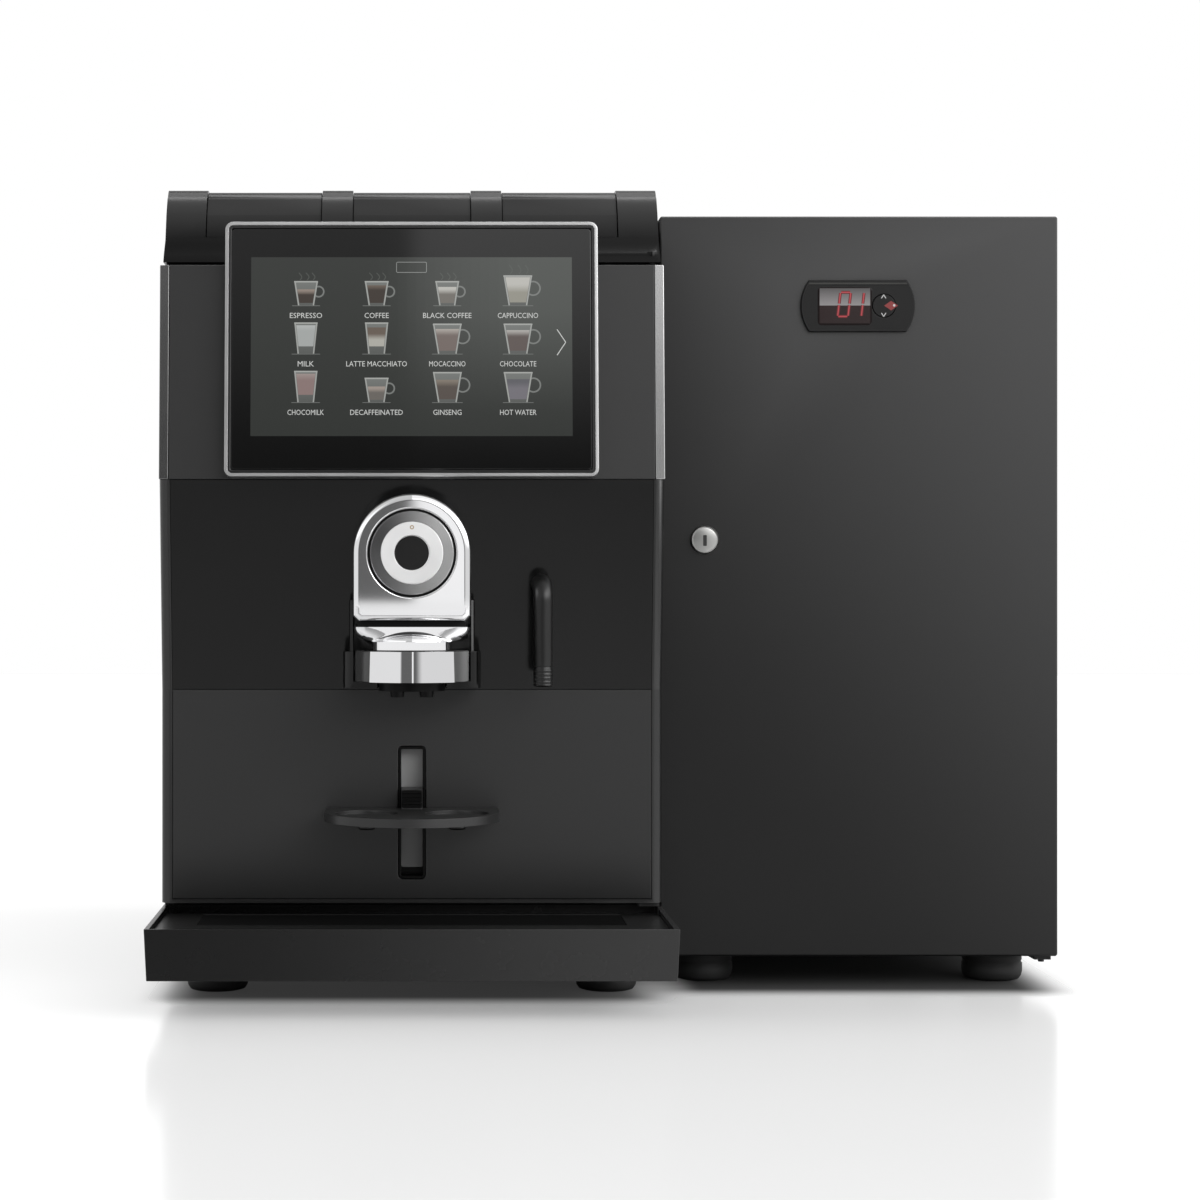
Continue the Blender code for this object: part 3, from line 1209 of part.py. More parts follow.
def thermostat_body(front, clear=0.0):
    """The box behind the thermostat's face, or the hole for it, larger all round by clear."""
    width, height = THERMOSTAT_SIZE
    half_width, half_height = width / 2 - 0.005 + clear, height / 2 - 0.004 + clear
    return block(
        (THERMOSTAT_X - half_width, front, THERMOSTAT_Z - half_height),
        (THERMOSTAT_X + half_width, FRIDGE_FRONT + THERMOSTAT_DEPTH + clear, THERMOSTAT_Z + half_height),
    )


def make_thermostat():
    width, height = THERMOSTAT_SIZE
    front = FRIDGE_FRONT - THERMOSTAT_PROUD
    outline = bowed(width / 2, height / 2, 0.006, (THERMOSTAT_X, THERMOSTAT_Z))
    face = prism(outline, "y", front, FRIDGE_FRONT - GAP)
    body = thermostat_body(FRIDGE_FRONT - 0.001)
    centre = (THERMOSTAT_X + KEYPAD_SHIFT, 0, THERMOSTAT_Z)
    seat = rod(centre, "y", front - 0.01, front + 0.003, KEYPAD_RADIUS + RUN)
    pivot = (FRIDGE_PIN_X, FRIDGE_PIN_Y, 0.0)
    piece("thermostat", cut(joined(face, body), seat), "matt_black", pivot)
    pad = rod(centre, "y", front - 0.0004, front + 0.0022, KEYPAD_RADIUS)
    piece("thermostat_keypad", pad, "rubber", (THERMOSTAT_X + KEYPAD_SHIFT, front, THERMOSTAT_Z))


def make_cold_contents():
    """What the refrigerator holds: the cooling unit behind, the milk container and its suction hose."""
    bottom = FLOOR_Z
    middle = (FRIDGE_LEFT + FRIDGE_RIGHT) / 2
    floor = bottom + WALL + GAP
    heights = ((0.0, 0.072), (0.5, 0.070), (0.88, 0.060), (1.0, 0.042), (1.0, 0.012), (0.9, 0.0), (0.0, 0.0))
    profile = [(COMPRESSOR_RADIUS * across, up) for across, up in heights]
    pot = turned(profile, (middle, CABINET_BACK - 0.100, floor))
    piece("cooling_compressor", pot, "matt_black")
    shelf = bottom + FRIDGE_SOLE + GAP
    top = shelf + MILK_HEIGHT
    centre = (middle, (MILK_FRONT + MILK_BACK) / 2)
    deep = (MILK_BACK - MILK_FRONT) / 2
    wall = MILK_WALL
    outer = rounded(MILK_HALF, deep, MILK_CORNER, centre)
    inner = rounded(MILK_HALF - wall, deep - wall, MILK_CORNER - wall, centre)
    jug = cut(prism(outer, "z", shelf, top), prism(inner, "z", shelf + wall, top + 0.01))
    piece("milk_container", jug, "white_plastic")
    bend, turn = 0.030, 0.025
    down_x = middle - 0.030
    dip = [(down_x, HOSE_Y, shelf + 0.012), (down_x, HOSE_Y, HOSE_Z - bend)]
    elbow = arc((down_x - bend, HOSE_Z - bend), bend, 0, 90, 6)[1:]
    entry = HALF - 0.040
    across = [(x, HOSE_Y, z) for x, z in elbow] + [(entry, HOSE_Y, HOSE_Z)]
    corner = arc((entry, HOSE_Y - turn), turn, 90, 180, 6)[1:]
    inside = [(x, y, HOSE_Z) for x, y in corner]
    inside.append((inside[-1][0], BULKHEAD_Y + FRAME_SHEET + GAP, HOSE_Z))
    piece("milk_hose", tube(dip + across + inside, HOSE_RADIUS, 2), "silicone")


def build():
    make_base_frame()
    make_side_panels()
    make_rear_panel()
    make_inner_frame()
    make_hood()
    make_lids()
    make_feet()
    make_door_shell()
    make_door_panels()
    make_display()
    make_shroud()
    make_arch()
    make_collar()
    make_dial()
    make_wand()
    make_shelf_rail()
    make_cup_shelf()
    make_drip_tray()
    make_grate()
    make_stores()
    make_grinder()
    make_mixer()
    make_brew_unit()
    make_base_units()
    make_side_lock()
    make_cabinet()
    make_fridge_door()
    make_fridge_lock()
    make_thermostat()
    make_cold_contents()


clear_scene()
PARTS = new_collection("hot_coffee_machine")
TOOLS = new_collection("cutters")
FRAME = new_empty("assembly_frame", ASSEMBLY_SHIFT)
MATERIALS = {name: new_finish(name, *values) for name, values in FINISHES.items()}
build()
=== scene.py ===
"""Looks of a table-top hot coffee machine and the milk refrigerator beside it.

Lengths are in metres, X runs to the right, Y to the back and Z up. Sizes and places come from the boxes of
the solid model's nodes. A shape is a grid of points worked out with numpy, and a finish is a node tree.
"""

import functools
import json
import logging
import math
from dataclasses import dataclass
from enum import Enum
from typing import Iterable, Sequence

import bmesh
import bpy
import numpy as np
from mathutils import Matrix, Vector

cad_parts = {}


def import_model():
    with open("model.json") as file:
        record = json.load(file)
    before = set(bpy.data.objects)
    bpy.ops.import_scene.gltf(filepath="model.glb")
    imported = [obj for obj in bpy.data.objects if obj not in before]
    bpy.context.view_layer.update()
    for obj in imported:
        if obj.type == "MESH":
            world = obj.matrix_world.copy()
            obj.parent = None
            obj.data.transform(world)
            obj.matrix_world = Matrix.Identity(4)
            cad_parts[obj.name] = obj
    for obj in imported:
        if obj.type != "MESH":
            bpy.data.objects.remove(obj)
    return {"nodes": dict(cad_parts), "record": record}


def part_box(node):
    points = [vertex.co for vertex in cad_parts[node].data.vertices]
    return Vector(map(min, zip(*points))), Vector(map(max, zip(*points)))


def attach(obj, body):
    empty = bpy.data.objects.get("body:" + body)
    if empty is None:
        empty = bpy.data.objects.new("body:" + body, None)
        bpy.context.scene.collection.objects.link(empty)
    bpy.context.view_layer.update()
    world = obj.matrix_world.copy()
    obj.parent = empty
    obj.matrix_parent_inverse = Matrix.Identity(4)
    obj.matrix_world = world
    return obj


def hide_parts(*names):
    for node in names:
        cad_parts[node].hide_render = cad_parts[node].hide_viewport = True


Points = np.ndarray
Colour = tuple[float, float, float]
log = logging.getLogger("looks")

CREASE = 35.0
BEVEL_ANGLE = math.radians(32)
BEVEL_SEGMENTS = 3
FLAT_ANGLE = math.radians(0.3)
DOUBLED = 1e-6


# ================================================================ flat outlines
class Facing(Enum):
    """Which axes an outline's two coordinates and its depth run along."""

    FRONT = (0, 2, 1)
    UP = (0, 1, 2)
    SIDE = (1, 2, 0)

    def lay(self, loop: Points, depth: float | Points) -> Points:
        """Puts an outline into space.

        Args:
            loop: Points of the outline, n by 2.
            depth: Where they lie along the third axis, one value or one for each point.

        Returns:
            The points, n by 3.
        """
        first, second, third = self.value
        points = np.zeros((len(loop), 3))
        points[:, first] = loop[:, 0]
        points[:, second] = loop[:, 1]
        points[:, third] = depth
        return points

    def middle(self, low: Sequence[float], high: Sequence[float]) -> tuple[float, float]:
        """Middle of a box along the outline's two coordinates."""
        first, second, _ = self.value
        return (low[first] + high[first]) / 2, (low[second] + high[second]) / 2

    def half(self, low: Sequence[float], high: Sequence[float]) -> tuple[float, float]:
        """Half the size of a box along the outline's two coordinates."""
        first, second, _ = self.value
        return (high[first] - low[first]) / 2, (high[second] - low[second]) / 2


def arc(centre: Sequence[float], radius: float, start: float, end: float, steps: int) -> Points:
    """Points on a circle: the centre plus the radius times the cosine and sine of the angle.

    Args:
        centre: Middle of the circle.
        radius: Its radius.
        start: First angle in degrees.
        end: Last angle in degrees.
        steps: Number of chords.

    Returns:
        The points, steps + 1 by 2.
    """
    angle = np.radians(np.linspace(start, end, steps + 1))
    return np.stack([centre[0] + radius * np.cos(angle), centre[1] + radius * np.sin(angle)], 1)


def circle(centre: Sequence[float], radius: float, steps: int = 64) -> Points:
    """A whole circle, its last point one step before its first."""
    return arc(centre, radius, 0, 360, steps)[:-1]


def rounded_box(
    half_width: float, half_height: float, radius: float, centre: Sequence[float] = (0, 0), steps: int = 8
) -> Points:
    """Four quarter circles whose ends are joined by straight sides.

    Args:
        half_width: Half the size along the first axis.
        half_height: Half the size along the second axis.
        radius: Radius of the corners.
        centre: Middle of the box.
        steps: Chords in each corner.

    Returns:
        The outline, counter-clockwise.
    """
    x, y = half_width - radius, half_height - radius
    corners = ((x, -y, -90), (x, y, 0), (-x, y, 90), (-x, -y, 180))
    quarters = (arc((centre[0] + a, centre[1] + b), radius, turn, turn + 90, steps) for a, b, turn in corners)
    return np.concatenate(list(quarters))


def inset(loop: Points, distance: float) -> Points:
    """Moves each side of a counter-clockwise outline inward.

    Each point moves along its mitre, the sum of its two sides' outward normals over one plus their product.

    Args:
        loop: The outline, n by 2.
        distance: How far inward, or outward where it is negative.

    Returns:
        The moved outline.
    """
    side = np.roll(loop, -1, 0) - loop
    normal = np.stack([side[:, 1], -side[:, 0]], 1) / np.linalg.norm(side, axis=1)[:, None]
    before = np.roll(normal, 1, 0)
    mitre = (before + normal) / (1 + (before * normal).sum(1))[:, None]
    return loop - distance * mitre


def quarter_round(radius: float, turns: Iterable[float], start: float = 0.0) -> list[tuple[float, float]]:
    """Pairs of inset and depth on a quarter circle that is tangent to a face and to a side.

    The inset is the radius times one less the sine of the turn, and the depth one less its cosine.

    Args:
        radius: Radius of the circle.
        turns: Angles from the face's edge to the side, in radians.
        start: Depth of the face.

    Returns:
        The pairs.
    """
    return [(radius * (1 - math.sin(t)), start + radius * (1 - math.cos(t))) for t in turns]


def round_edge(low: float, high: float, edge: float, steps: int = 4) -> list[tuple[float, float]]:
    """Profile of a plate's side: a quarter round at each face, as pairs of inset and depth.

    Args:
        low: Depth of the first face.
        high: Depth of the second face.
        edge: Radius of the quarter rounds.
        steps: Chords in each quarter round.

    Returns:
        The pairs, from the first face to the second.
    """
    turn = np.linspace(0, math.pi / 2, steps + 1)
    sign = 1 if high > low else -1
    first = [(edge * (1 - math.sin(t)), low + sign * edge * (1 - math.cos(t))) for t in turn]
    second = [(edge * (1 - math.sin(t)), high - sign * edge * (1 - math.cos(t))) for t in turn[::-1]]
    return first + second


# ================================================================ surfaces
class Form:
    """Closed surfaces that together make one piece."""

    def __init__(self) -> None:
        """Starts with no surface."""
        self.points: list[Points] = []
        self.faces: list[list[int]] = []
        self.smooth: list[bool] = []
        self.count = 0

    def loft(self, rows: Points | Sequence[Points], wrap: bool = False, caps: bool = True) -> "Form":
        """Joins loops of as many points each with four-sided faces.

        Args:
            rows: The loops, n by m by 3.
            wrap: Whether the last loop joins the first.
            caps: Whether flat faces close the two end loops.

        Returns:
            This form.
        """
        grid = np.asarray(rows, float)
        count, across = grid.shape[:2]
        row = np.arange(count if wrap else count - 1)[:, None]
        column = np.arange(across)[None, :]
        next_row, next_column = (row + 1) % count, (column + 1) % across
        corners = (row * across + column, row * across + next_column,
                   next_row * across + next_column, next_row * across + column)
        quads = np.stack(corners, -1).reshape(-1, 4) + self.count
        self.faces += quads.tolist()
        self.smooth += [True] * len(quads)
        if caps and not wrap:
            for end in (0, count - 1):
                self.faces.append((np.arange(across) + end * across + self.count).tolist())
                self.smooth.append(False)
        self.points.append(grid.reshape(-1, 3))
        self.count += count * across
        return self

    def moulding(
        self, loop: Points, profile: Iterable[tuple[float, float]], facing: Facing, wrap: bool = False
    ) -> "Form":
        """Carries a profile round an outline, as a picture frame is made.

        Args:
            loop: The outline, counter-clockwise.
            profile: Pairs of inset from the outline and depth.
            facing: How the outline lies in space.
            wrap: Whether the profile closes on itself and leaves the middle open.

        Returns:
            This form.
        """
        return self.loft([facing.lay(inset(loop, d), depth) for d, depth in profile], wrap)

    def slab(self, loop: Points, low: float, high: float, facing: Facing, edge: float = 0.0004) -> "Form":
        """A flat plate with quarter-round edges, and a narrow row inside each that keeps its face flat."""
        inner = edge + min(edge, 0.0002)
        return self.moulding(loop, [(inner, low), *round_edge(low, high, edge), (inner, high)], facing)

    def turned(
        self, profile: Iterable[tuple[float, float]], centre: Sequence[float], facing: Facing,
        wrap: bool = False, steps: int = 64
    ) -> "Form":
        """Turns a profile of radius and depth about the axis that the facing looks along.

        Args:
            profile: Pairs of radius and depth; a radius of nought closes the surface in a pole.
            centre: Where the axis crosses the outline's plane.
            facing: Which axis it turns about.
            wrap: Whether the profile closes on itself.
            steps: Sides of the turned shape.

        Returns:
            This form.
        """
        unit = circle((0, 0), 1.0, steps)
        return self.loft([facing.lay(np.array(centre) + unit * r, depth) for r, depth in profile], wrap)

    def sweep(self, path: Points, radius: float | Points, side: Sequence[float], steps: int = 24) -> "Form":
        """Carries a circle along a path that lies in one plane.

        A point is the path's point plus the radius times the cosine of the angle along the side direction
        and its sine along the path's own normal.

        Args:
            path: Points of the path, n by 3.
            radius: One radius, or one for each point.
            side: Direction at right angles to the path's plane.
            steps: Sides of the tube.

        Returns:
            This form.
        """
        tangent = np.gradient(path, axis=0)
        tangent /= np.linalg.norm(tangent, axis=1)[:, None]
        across = np.broadcast_to(np.asarray(side, float), path.shape)
        normal = np.cross(across, tangent)
        angle = np.linspace(0, 2 * math.pi, steps, endpoint=False)[None, :, None]
        reach = np.broadcast_to(np.asarray(radius, float), (len(path),))[:, None, None]
        spokes = np.cos(angle) * across[:, None] + np.sin(angle) * normal[:, None]
        return self.loft(path[:, None] + reach * spokes)

    def moved(self, matrix: Matrix) -> "Form":
        """Puts every point so far through a matrix."""
        turn = np.array(matrix, float)
        self.points = [p @ turn[:3, :3].T + turn[:3, 3] for p in self.points]
        return self

    def mesh(self, name: str, crease: float = CREASE) -> bpy.types.Mesh:
        """Makes the mesh, with doubled points merged and every face pointing out.

        Args:
            name: The mesh's name.
            crease: Angle in degrees above which an edge stays sharp.

        Returns:
            The mesh.
        """
        mesh = bpy.data.meshes.new(name)
        mesh.from_pydata(np.concatenate(self.points).tolist(), [], self.faces)
        mesh.polygons.foreach_set("use_smooth", self.smooth)
        settle(mesh)
        mesh.set_sharp_from_angle(angle=math.radians(crease))
        return mesh


def settle(mesh: bpy.types.Mesh, merge: float = 1e-7) -> None:
    """Merges doubled points, removes faces that vanished and turns the rest to face out."""
    bm = bmesh.new()
    bm.from_mesh(mesh)
    bmesh.ops.remove_doubles(bm, verts=bm.verts, dist=merge)
    bmesh.ops.dissolve_degenerate(bm, edges=bm.edges, dist=merge)
    bmesh.ops.recalc_face_normals(bm, faces=bm.faces)
    bm.to_mesh(mesh)
    bm.free()


# ================================================================ shader maths
class Signal:
    """One output socket of a node tree. Adding, multiplying and so on make Math nodes."""

    def __init__(self, recipe: "Recipe", socket: bpy.types.NodeSocket) -> None:
        """Wraps a socket.

        Args:
            recipe: The node tree's writer.
            socket: The output socket.
        """
        self.recipe = recipe
        self.socket = socket

    def _maths(self, operation: str, other: "Signal | float", swapped: bool = False) -> "Signal":
        """A Math node of this signal and another value.

        Args:
            operation: The node's operation.
            other: The second value.
            swapped: Whether the other value comes first.

        Returns:
            The node's output.
        """
        pair = (other, self) if swapped else (self, other)
        return self.recipe.add("ShaderNodeMath", {"operation": operation}, dict(enumerate(pair)))

    def __add__(self, other: "Signal | float") -> "Signal":
        """This plus the other."""
        return self._maths("ADD", other)

    __radd__ = __add__

    def __sub__(self, other: "Signal | float") -> "Signal":
        """This less the other."""
        return self._maths("SUBTRACT", other)

    def __rsub__(self, other: float) -> "Signal":
        """The other less this."""
        return self._maths("SUBTRACT", other, True)

    def __mul__(self, other: "Signal | float") -> "Signal":
        """This times the other."""
        return self._maths("MULTIPLY", other)

    def step(self, start: float, end: float) -> "Signal":
        """Nought before the start, one after the end, and a smooth rise between them."""
        settings = {"interpolation_type": "SMOOTHSTEP"}
        values = {"Value": self, "From Min": start, "From Max": end}
        return self.recipe.add("ShaderNodeMapRange", settings, values)

    def between(self, first: Colour, second: Colour) -> "Signal":
        """A colour that goes from the first to the second as this goes from nought to one."""
        return self.recipe.mix(self, (*first, 1.0), (*second, 1.0))


class Recipe:
    """Writes the nodes of one material or world."""

    def __init__(self, tree: bpy.types.NodeTree) -> None:
        """Empties the tree and keeps it."""
        tree.nodes.clear()
        self.tree = tree

    def add(
        self, kind: str, settings: dict[str, object] | None = None,
        values: dict[str | int, object] | None = None, output: int | str = 0
    ) -> Signal:
        """Adds one node.

        Args:
            kind: The node's type.
            settings: Properties, set before the sockets.
            values: Numbers, colours or signals of the sockets, by name or index.
            output: The output socket that is handed back.

        Returns:
            That output.
        """
        node = self.tree.nodes.new(kind)
        for key, value in (settings or {}).items():
            setattr(node, key, value)
        for key, value in (values or {}).items():
            socket = node.inputs[key]
            if isinstance(value, Signal):
                self.tree.links.new(value.socket, socket)
            else:
                socket.default_value = value
        return Signal(self, node.outputs[output]) if len(node.outputs) else Signal(self, None)

    def place(self, stretch: Sequence[float] = (1, 1, 1)) -> Signal:
        """Object coordinates, stretched along the axes."""
        where = self.add("ShaderNodeTexCoord", output="Object")
        return self.add("ShaderNodeMapping", {}, {"Vector": where, "Scale": tuple(stretch)})

    def mix(self, factor: Signal, first: object, second: object) -> Signal:
        """The first colour where the factor is nought, and the second where it is one."""
        return self.add("ShaderNodeMix", {"data_type": "RGBA"}, {"Factor": factor, 6: first, 7: second}, 2)

    def axes(self, vector: Signal) -> list[Signal]:
        """The X, Y and Z of a vector."""
        split = self.add("ShaderNodeSeparateXYZ", {}, {"Vector": vector})
        return [Signal(self, socket) for socket in split.socket.node.outputs]

    def noise(self, size: float, detail: float = 2.0, stretch: Sequence[float] = (1, 1, 1)) -> Signal:
        """Smooth noise whose patches are about the given size, from nought to one."""
        values = {"Vector": self.place(stretch), "Scale": 1 / size, "Detail": detail}
        return self.add("ShaderNodeTexNoise", {}, values)

    def bump(self, height: Signal, depth: float) -> Signal:
        """A normal that rises and falls by the depth as the height goes from nought to one."""
        return self.add("ShaderNodeBump", {}, {"Height": height, "Distance": depth, "Strength": 1.0})


# ================================================================ finishes
@dataclass(frozen=True)
class Finish:
    """A surface of one colour, with slow drift, smudges and a fine grain."""

    name: str
    colour: Colour
    roughness: float
    metallic: float = 0.0
    coat: float = 0.0
    drift: float = 0.10
    drift_size: float = 0.06
    smudge: float = 0.04
    grain: float = 0.000006
    grain_size: float = 0.0009
    stretch: tuple[float, float, float] = (1.0, 1.0, 1.0)
    specular: float = 0.5

    def colour_signal(self, recipe: Recipe) -> Signal:
        """The colour, a little darker and lighter in slow patches."""
        dark = tuple(c * (1 - self.drift) for c in self.colour)
        light = tuple(min(1.0, c * (1 + self.drift)) for c in self.colour)
        return recipe.noise(self.drift_size, 3).step(0.3, 0.7).between(dark, light)

    def sockets(self, recipe: Recipe) -> dict[str | int, object]:
        """What the surface shader's sockets hold.

        Args:
            recipe: Writer of the material's nodes.

        Returns:
            Values and signals by socket name.
        """
        patches = recipe.noise(self.drift_size * 0.4, 4)
        fine = recipe.noise(self.grain_size, 2, self.stretch)
        return {
            "Base Color": self.colour_signal(recipe),
            "Roughness": patches * self.smudge + (self.roughness - self.smudge / 2),
            "Metallic": self.metallic,
            "Coat Weight": self.coat,
            "Coat Roughness": COAT_ROUGHNESS,
            "Specular IOR Level": self.specular,
            "Normal": recipe.bump(fine, self.grain),
        }

    def material(self) -> bpy.types.Material:
        """The finish's material, made once."""
        return built_material(self)


@dataclass(frozen=True)
class Lit(Finish):
    """A printed or lit surface whose colour comes from its own mesh attribute; on print and on the thermostat
    window's sheen that glow is painted light.
    """

    glow: float = 0.8

    def sockets(self, recipe: Recipe) -> dict[str | int, object]:
        """As for any finish, but the colour is the attribute and part of it is given off as light."""
        tint = recipe.add("ShaderNodeAttribute", {"attribute_name": TINT}, output="Color")
        grid = recipe.noise(self.grain_size, 1)
        return {
            **super().sockets(recipe),
            "Base Color": UNLIT,
            "Emission Color": recipe.mix(grid * self.drift, tint, BLACK),
            "Emission Strength": self.glow,
        }


@dataclass(frozen=True)
class Clear(Finish):
    """A see-through moulding."""

    clearness: float = 0.9
    bending: float = 1.49

    def sockets(self, recipe: Recipe) -> dict[str | int, object]:
        """As for any finish, with light passing through."""
        return {**super().sockets(recipe), "Transmission Weight": self.clearness, "IOR": self.bending}


@dataclass(frozen=True)
class Graded(Finish):
    """A surface whose colour changes along one axis, or along a line that leans up from it."""

    low: float = 0.0
    high: float = 0.1
    top: Colour = (0.5, 0.5, 0.5)
    axis: str = "Z"
    lean: float = 0.0

    def colour_signal(self, recipe: Recipe) -> Signal:
        """The colour at the low place, and the top colour at the high one."""
        places = dict(zip("XYZ", recipe.axes(recipe.place())))
        place = places[self.axis] + places["Z"] * self.lean
        return place.step(self.low, self.high).between(self.colour, self.top)


def blank_material(name: str) -> tuple[bpy.types.Material, Recipe]:
    """A new material, and the writer of its nodes."""
    material = bpy.data.materials.new(name)
    material.use_nodes = True
    return material, Recipe(material.node_tree)


@functools.cache
def built_material(finish: Finish) -> bpy.types.Material:
    """Makes a finish's material.

    Args:
        finish: The finish.

    Returns:
        The material, the same one each time.
    """
    material, recipe = blank_material(finish.name)
    shader = recipe.add("ShaderNodeBsdfPrincipled", {}, finish.sockets(recipe))
    recipe.add("ShaderNodeOutputMaterial", {}, {"Surface": shader})
    return material


TINT = "tint"
COAT_ROUGHNESS = 0.03
UNLIT = (0.004, 0.004, 0.004, 1.0)
BLACK = (0.0, 0.0, 0.0, 1.0)
LAYER = 0.00002
LETTERS = (0.72, 0.73, 0.71)
GRAPHITE = (0.0118, 0.0118, 0.0119)


def grey(level: float) -> Colour:
    """A colour with the same red, green and blue."""
    return level, level, level


STEEL_PAINT = Finish("steel_paint", grey(0.012), 0.42, grain=0.00001)
# Painted shade: the hood is near black at its lower cove and lighter toward the crown.
HOOD_PAINTED_SHADE = Graded("hood_plastic", grey(0.0006), 0.22, specular=0.16, low=0.528, high=0.562, top=grey(0.028))
DOOR_EDGE = Finish("door_edge", grey(0.008), 0.26, coat=0.1)
# Painted shade: the satin panels darken toward their bottom edge, just above the drip tray.
SATIN_PAINTED_SHADE = Graded("satin_panel", grey(0.0025), 0.36, low=0.064, high=0.108, top=GRAPHITE)
GLOSS = Finish("gloss_panel", grey(0.0028), 0.12, smudge=0.02, grain=0.0, specular=0.32)
# Painted reflection: the tray is near black on its left and lighter toward the right.
TRAY_PAINTED_REFLECTION = Graded(
    "tray_plastic", grey(0.0012), 0.27, specular=0.33, low=-0.30, high=0.08, top=grey(0.027), axis="X"
)
# Painted reflection: the silver trims are darker on the machine's left and brighter toward its right.
SILVER_PAINTED_REFLECTION = Graded(
    "silver_trim", grey(0.20), 0.20, 1.0, grain=0.000002, stretch=(1, 1, 0.02), low=-0.28, high=0.0,
    top=grey(0.50), axis="X"
)
RIM = Finish("rim_silver", grey(0.38), 0.40, 1.0, grain=0.000002)
GLASS = Finish("screen_glass", grey(0.0014), 0.05, smudge=0.02, grain=0.0)
CHROME = Finish("chrome", (0.86, 0.86, 0.87), 0.03, 1.0, drift=0.01, smudge=0.015, grain=0.0)
# Painted reflection: the dial's satin ring is darker on its left and lighter on its right.
DIAL_PAINTED_REFLECTION = Graded(
    "dial_plastic", (0.15, 0.15, 0.153), 0.26, 1.0, grain=0.000003, low=-0.170, high=-0.112, top=grey(0.42),
    axis="X"
)
DIAL_FACE = Finish("dial_face", grey(0.72), 0.30, 0.3, grain=0.000003)
MATT = Finish("matt_plastic", grey(0.0040), 0.34, specular=0.36)
GREY = Finish("grey_plastic", grey(0.10), 0.42)
WHITE = Finish("white_plastic", (0.68, 0.68, 0.67), 0.4)
SMOKED = Clear("smoked_plastic", (0.16, 0.15, 0.14), 0.12, grain=0.0)
STEEL = Finish("stainless", (0.56, 0.56, 0.55), 0.28, 1.0, grain=0.000004, stretch=(1, 1, 0.03))
ZINC = Finish("zinc", (0.40, 0.40, 0.39), 0.42, 1.0, drift=0.2, drift_size=0.02)
BRASS = Finish("brass", (0.60, 0.44, 0.18), 0.3, 1.0)
LOCK = Finish("lock_metal", (0.42, 0.42, 0.41), 0.28, 1.0, grain=0.000004)
# Painted light: the fridge's colour lightens toward its upper right.
FRIDGE_PAINTED_LIGHT = Graded(
    "fridge_paint", grey(0.0058), 0.36, specular=0.27, low=0.20, high=0.83, top=(0.047, 0.047, 0.0473),
    axis="X", lean=0.9, drift=0.04, grain=0.000012, grain_size=0.0006
)
COMPRESSOR = Finish("compressor_paint", grey(0.015), 0.35, coat=0.3)
RUBBER = Finish("rubber", grey(0.010), 0.65, grain=0.00003)
SILICONE = Finish("silicone", (0.55, 0.55, 0.53), 0.45)
INK = Lit("screen_picture", grey(0.0), 0.06, drift=0.02, grain_size=0.0003, grain=0.0)
LIP = Finish("display_lip", grey(0.006), 0.30)
# Painted reflection: the collar is dark grey and lightens toward its right side.
COLLAR_PAINTED_REFLECTION = Graded("spout_band", grey(0.040), 0.2, low=-0.1133, high=-0.1015, top=grey(0.19), axis="X")
# Painted highlight: a pale band along the top of the thermostat's bezel.
RIDGE_PAINTED_HIGHLIGHT = Finish("ridge_grey", (0.030, 0.030, 0.028), 0.36, specular=0.3)
BUTTON = Finish("button_black", grey(0.0035), 0.30, specular=0.35)
RAIL = Finish("rail_black", grey(0.0015), 0.35, specular=0.12)
SHADOW_GAP = Finish("shadow_gap", grey(0.002), 0.5, specular=0.1)
# Painted light: the channel's floor plate is pale and lightens toward its top.
CHANNEL_PAINTED_LIGHT = Graded("rail_channel", grey(0.24), 0.40, drift=0.03, low=0.125, high=0.175, top=grey(0.42))
GRILLE = Finish("grille_black", grey(0.002), 0.7, specular=0.06)
PANEL_GREY = Finish("thermostat_grey", grey(0.0055), 0.34, specular=0.25)
WINDOW = Finish("thermostat_window", (0.006, 0.0035, 0.0035), 0.08, smudge=0.01, grain=0.0, specular=0.3)
DIGITS = Lit("lit_digits", grey(0.0), 0.2, drift=0.02, grain=0.0, glow=1.0)
# Painted light: the printed marks are drawn as glowing colour.
PRINT_PAINTED_GLOW = Lit("print", grey(0.0), 0.4, drift=0.02, grain=0.0, glow=0.7)

SLOT_FINISH = {
    "painted_steel": STEEL_PAINT, "zinc": ZINC, "hood_plastic": HOOD_PAINTED_SHADE, "door_edge": DOOR_EDGE,
    "satin_panel": SATIN_PAINTED_SHADE, "gloss_panel": GLOSS, "tray_plastic": TRAY_PAINTED_REFLECTION, "silver_trim": SILVER_PAINTED_REFLECTION,
    "screen_glass": GLASS, "chrome": CHROME, "dial_plastic": DIAL_PAINTED_REFLECTION, "matt_plastic": MATT,
    "grey_plastic": GREY, "white_plastic": WHITE, "smoked_plastic": SMOKED, "stainless": STEEL,
    "brass": BRASS, "lock_metal": LOCK, "fridge_paint": FRIDGE_PAINTED_LIGHT, "compressor_paint": COMPRESSOR,
    "rubber": RUBBER, "silicone": SILICONE,
}


# ================================================================ the bench: frame, slots and pieces
def in_scene(name: str, data: bpy.types.ID) -> bpy.types.Object:
    """Makes an object of a mesh, a curve, a lamp or a camera and puts it into the scene."""
    made = bpy.data.objects.new(name, data)
    bpy.context.scene.collection.objects.link(made)
    return made


